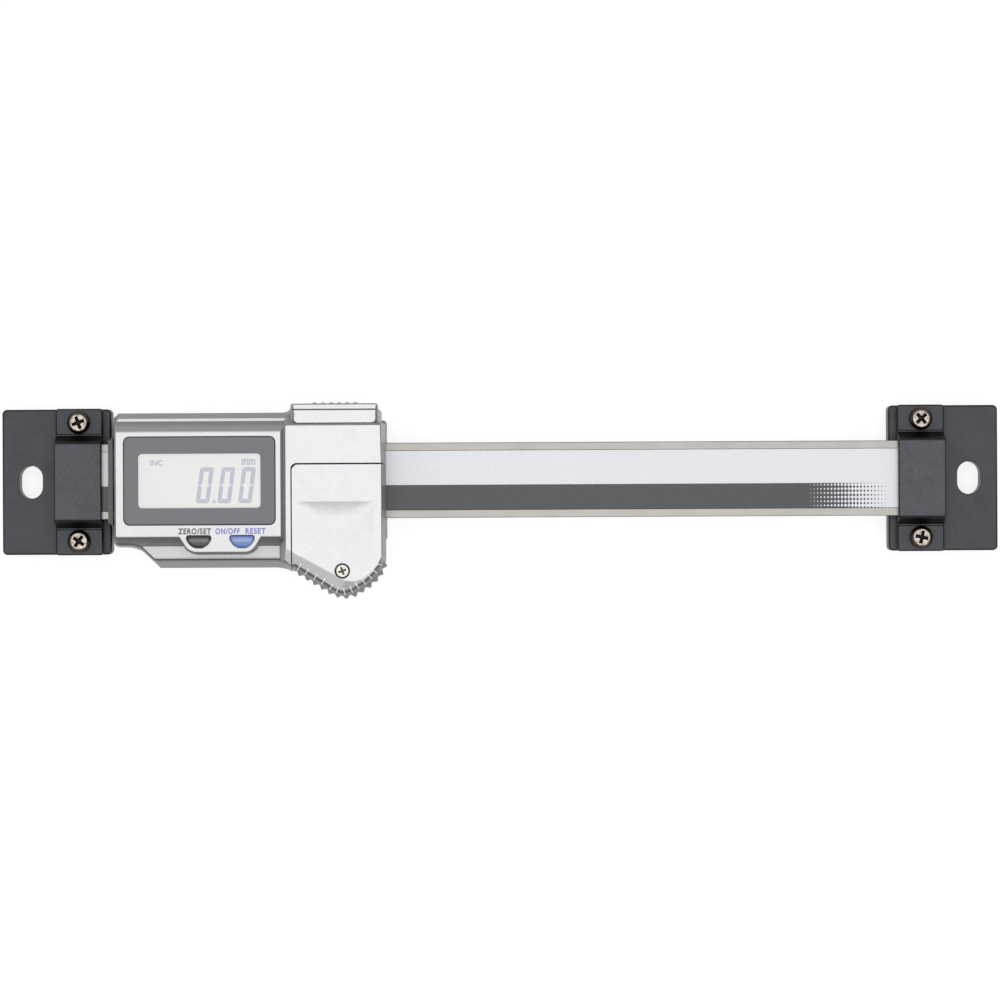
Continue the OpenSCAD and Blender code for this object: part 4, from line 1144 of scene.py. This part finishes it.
def segments(x, y, w, h, lean, bars, t=0.84, g=0.11):
    """Seven-segment bars of one digit as closed prisms; x, y is its lower left corner."""
    m = h / 2
    shapes = {
        "a": [(g, h), (w - g, h), (w - t - g * 0.3, h - t), (t + g * 0.3, h - t)],
        "d": [(g, 0), (t + g * 0.3, t), (w - t - g * 0.3, t), (w - g, 0)],
        "f": [(0, h - g), (0, m + g * 0.9), (t * 0.5, m + g * 0.4), (t, m + g + t * 0.35), (t, h - t - g * 0.6)],
        "b": [(w, h - g), (w - t, h - t - g * 0.6), (w - t, m + g + t * 0.35), (w - t * 0.5, m + g * 0.4), (w, m + g * 0.9)],
        "e": [(0, g), (t, t + g * 0.6), (t, m - g - t * 0.35), (t * 0.5, m - g * 0.4), (0, m - g * 0.9)],
        "c": [(w, g), (w, m - g * 0.9), (w - t * 0.5, m - g * 0.4), (w - t, m - g - t * 0.35), (w - t, t + g * 0.6)],
        "g": [(t * 0.7, m), (t + g, m + t * 0.5), (w - t - g, m + t * 0.5), (w - t * 0.7, m), (w - t - g, m - t * 0.5), (t + g, m - t * 0.5)],
    }
    out = []
    for b in bars:
        q = [(x + px + lean * py, y + py) for px, py in shapes[b]]
        area = sum(q[i - 1][0] * q[i][1] - q[i][0] * q[i - 1][1] for i in range(len(q)))
        out.append(q if area > 0 else q[::-1])
    return out


k = 1.0108
digits = Shape()
for bx in (-64.5, -59.95, -55.55):
    for q in segments((bx - 0.1) / k, -4.3 + (-4.65 + 4.3) / k, 2.85 / k, 7.6 / k, 0.135, "abcdef"):
        slab(rounded([(px, py, 0.06) for px, py in q], seg=30), lcd_top + 0.002, lcd_top + 0.03, r=0.01, arc=1, shape=digits)
slab(rounded(rect(-61.0 / k, -4.63 / k - 0.05, -60.4 / k, -4.0 / k - 0.05, 0.1)), lcd_top + 0.002, lcd_top + 0.03, r=0.01, arc=1, shape=digits)
digits = digits.make("lcd_digits", LCD_INK, "head")


def lettering(name, words, mat, z, thick, body="head", bold=0.034, space=1.0):
    """Plain upper- and lower-case words as thin closed prisms: (text, x0, x1, y0, height)."""
    meshes = []
    for text, x0, x1, y0, high in words:
        c = bpy.data.curves.new(name + "_curve", "FONT")
        c.body = text
        c.size = 1.0
        c.extrude = 0.5
        c.offset = bold
        c.space_character = space
        c.resolution_u = 4
        o = bpy.data.objects.new(name + "_curve", c)
        bpy.context.scene.collection.objects.link(o)
        bpy.context.view_layer.update()
        m = bpy.data.meshes.new_from_object(o.evaluated_get(bpy.context.evaluated_depsgraph_get()))
        v = np.array([tuple(q.co) for q in m.vertices])
        a, b = v.min(0), v.max(0)
        v = (v - a) / (b - a)
        base = v * [x1 - x0, high, thick] + [x0, y0, z]
        meshes.append((base, [tuple(f.vertices) for f in m.polygons]))
        bpy.data.objects.remove(o)
        bpy.data.meshes.remove(m)
        bpy.data.curves.remove(c)
    verts, faces = [], []
    for v, f in meshes:
        n = len(verts)
        verts += (v * 0.001).tolist()
        faces += [tuple(i + n for i in q) for q in f]
    mesh = bpy.data.meshes.new(name)
    mesh.from_pydata(verts, [], faces)
    bm = bmesh.new()
    bm.from_mesh(mesh)
    bmesh.ops.remove_doubles(bm, verts=bm.verts, dist=1e-7)
    bmesh.ops.recalc_face_normals(bm, faces=bm.faces)
    bm.to_mesh(mesh)
    bm.free()
    mesh.materials.append(mat)
    obj = bpy.data.objects.new(name, mesh)
    bpy.context.scene.collection.objects.link(obj)
    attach(obj, body)
    return obj


def put(x0, x1, y0, y1, k):
    """Where a word seen from the camera's side lies at depth factor k."""
    return x0 / k, x1 / k, -4.3 + (y0 + 4.3) / k, (y1 - y0) / k


small = lettering("lcd_units", [("mm", *put(-54.8, -51.9, 3.45, 4.75, k)), ("INC", *put(-74.25, -71.5, 3.35, 4.55, k))], LCD_INK, lcd_top + 0.002, 0.028)
k = 1.01176
dark = lettering("key_label_dark", [("ZERO/SET", *put(-68.4, -61.4, -11.25, -9.95, k))], LABEL_DARK, Z_FACE + 0.002, 0.015, space=1.16)
blue = lettering("key_label_blue", [("ON/OFF", *put(-60.5, -55.3, -11.25, -9.95, k)), ("RESET", *put(-54.1, -49.8, -11.25, -9.95, k))], LABEL_BLUE, Z_FACE + 0.002, 0.015, space=1.16)

# --------------------------------------------------------------------- keys
for (cx, top, z), name, mat in zip(KEYS, ("zero_key", "origin_key"), (KEY_BLACK, KEY_BLUE)):
    loop = half_moon(cx, top)

    def dome(x, y, loop=loop, z=z, cx=cx, top=top):
        d = -away(x, y, loop[0])
        edge = np.clip(1 - d / 0.75, 0, 1)
        dish = np.exp(-(((x - cx) / 1.7) ** 2 + ((y - top + 1.05) / 0.6) ** 2))
        return z - 0.32 * edge**2 - 0.12 * dish

    cap = relief(dome, loop, 13.5, r=0.18, r_foot=0.08, cells={"root": 0.6, "least": 0.15, "tol": 0.004})
    cap = cap.make(name.split("_")[0] + "_key_cap", mat, name)
    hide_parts(name)

# ------------------------------------------------- CAD nodes that stay in view
soften("slider_frame", 0.2)
soften("left_end_cap", 0.15)
soften("right_end_cap", 0.12)
soften("left_wiper", 0.08)
soften("right_wiper", 0.08)
soften("scale_board", 0.06)
soften("gib_strip", 0.05)

# ------------------------------------------------------ floor, lights, camera
floor_mesh = bpy.data.meshes.new("floor")
floor_mesh.from_pydata([(-1.2, -1.2, 0), (1.2, -1.2, 0), (1.2, 1.2, 0), (-1.2, 1.2, 0)], [], [(0, 1, 2, 3)])
floor_mat = Mat("floor_pale", 0.9, 0.0)
floor_mat.colour((0.26, 0.26, 0.26, 1.0))
floor_mat.b.inputs["Emission Color"].default_value = (1, 1, 1, 1)
floor_mat.b.inputs["Emission Strength"].default_value = 0.8
floor_mesh.materials.append(floor_mat.m)
floor = bpy.data.objects.new("floor", floor_mesh)
bpy.context.scene.collection.objects.link(floor)
floor.location = (0, 0, -0.0001)


def area_light(name, place, aim, size, power):
    d = bpy.data.lights.new(name, "AREA")
    d.shape = "DISK"
    d.size = size
    d.energy = power
    o = bpy.data.objects.new(name, d)
    bpy.context.scene.collection.objects.link(o)
    o.location = place
    v = Vector(aim) - Vector(place)
    o.rotation_euler = v.to_track_quat("-Z", "Y").to_euler()


area_light("top_light", (0, 0, 1.1), (0, 0, 0), 1.3, 6.5)
area_light("key_light", (0.7, -0.9, 0.75), (0, 0, 0), 1.15, 3.8)
area_light("fill_light", (-0.8, 0.8, 0.7), (0, 0, 0), 1.15, 2.6)

world = bpy.data.worlds.new("studio")
world.use_nodes = True
world.node_tree.nodes["Background"].inputs["Color"].default_value = (1, 1, 1, 1)
world.node_tree.nodes["Background"].inputs["Strength"].default_value = 0.52
bpy.context.scene.world = world
bpy.context.scene.view_settings.view_transform = "Standard"

cam_data = bpy.data.cameras.new("camera")
cam_data.lens = 135.66
cam_data.sensor_width = 36
cam_data.clip_start = 0.01
cam_data.clip_end = 20
cam = bpy.data.objects.new("camera", cam_data)
bpy.context.scene.collection.objects.link(cam)
cam.location = (-0.0000215, -0.00427, 0.8085)
cam.rotation_euler = (0, 0, math.radians(-0.288))
bpy.context.scene.camera = cam
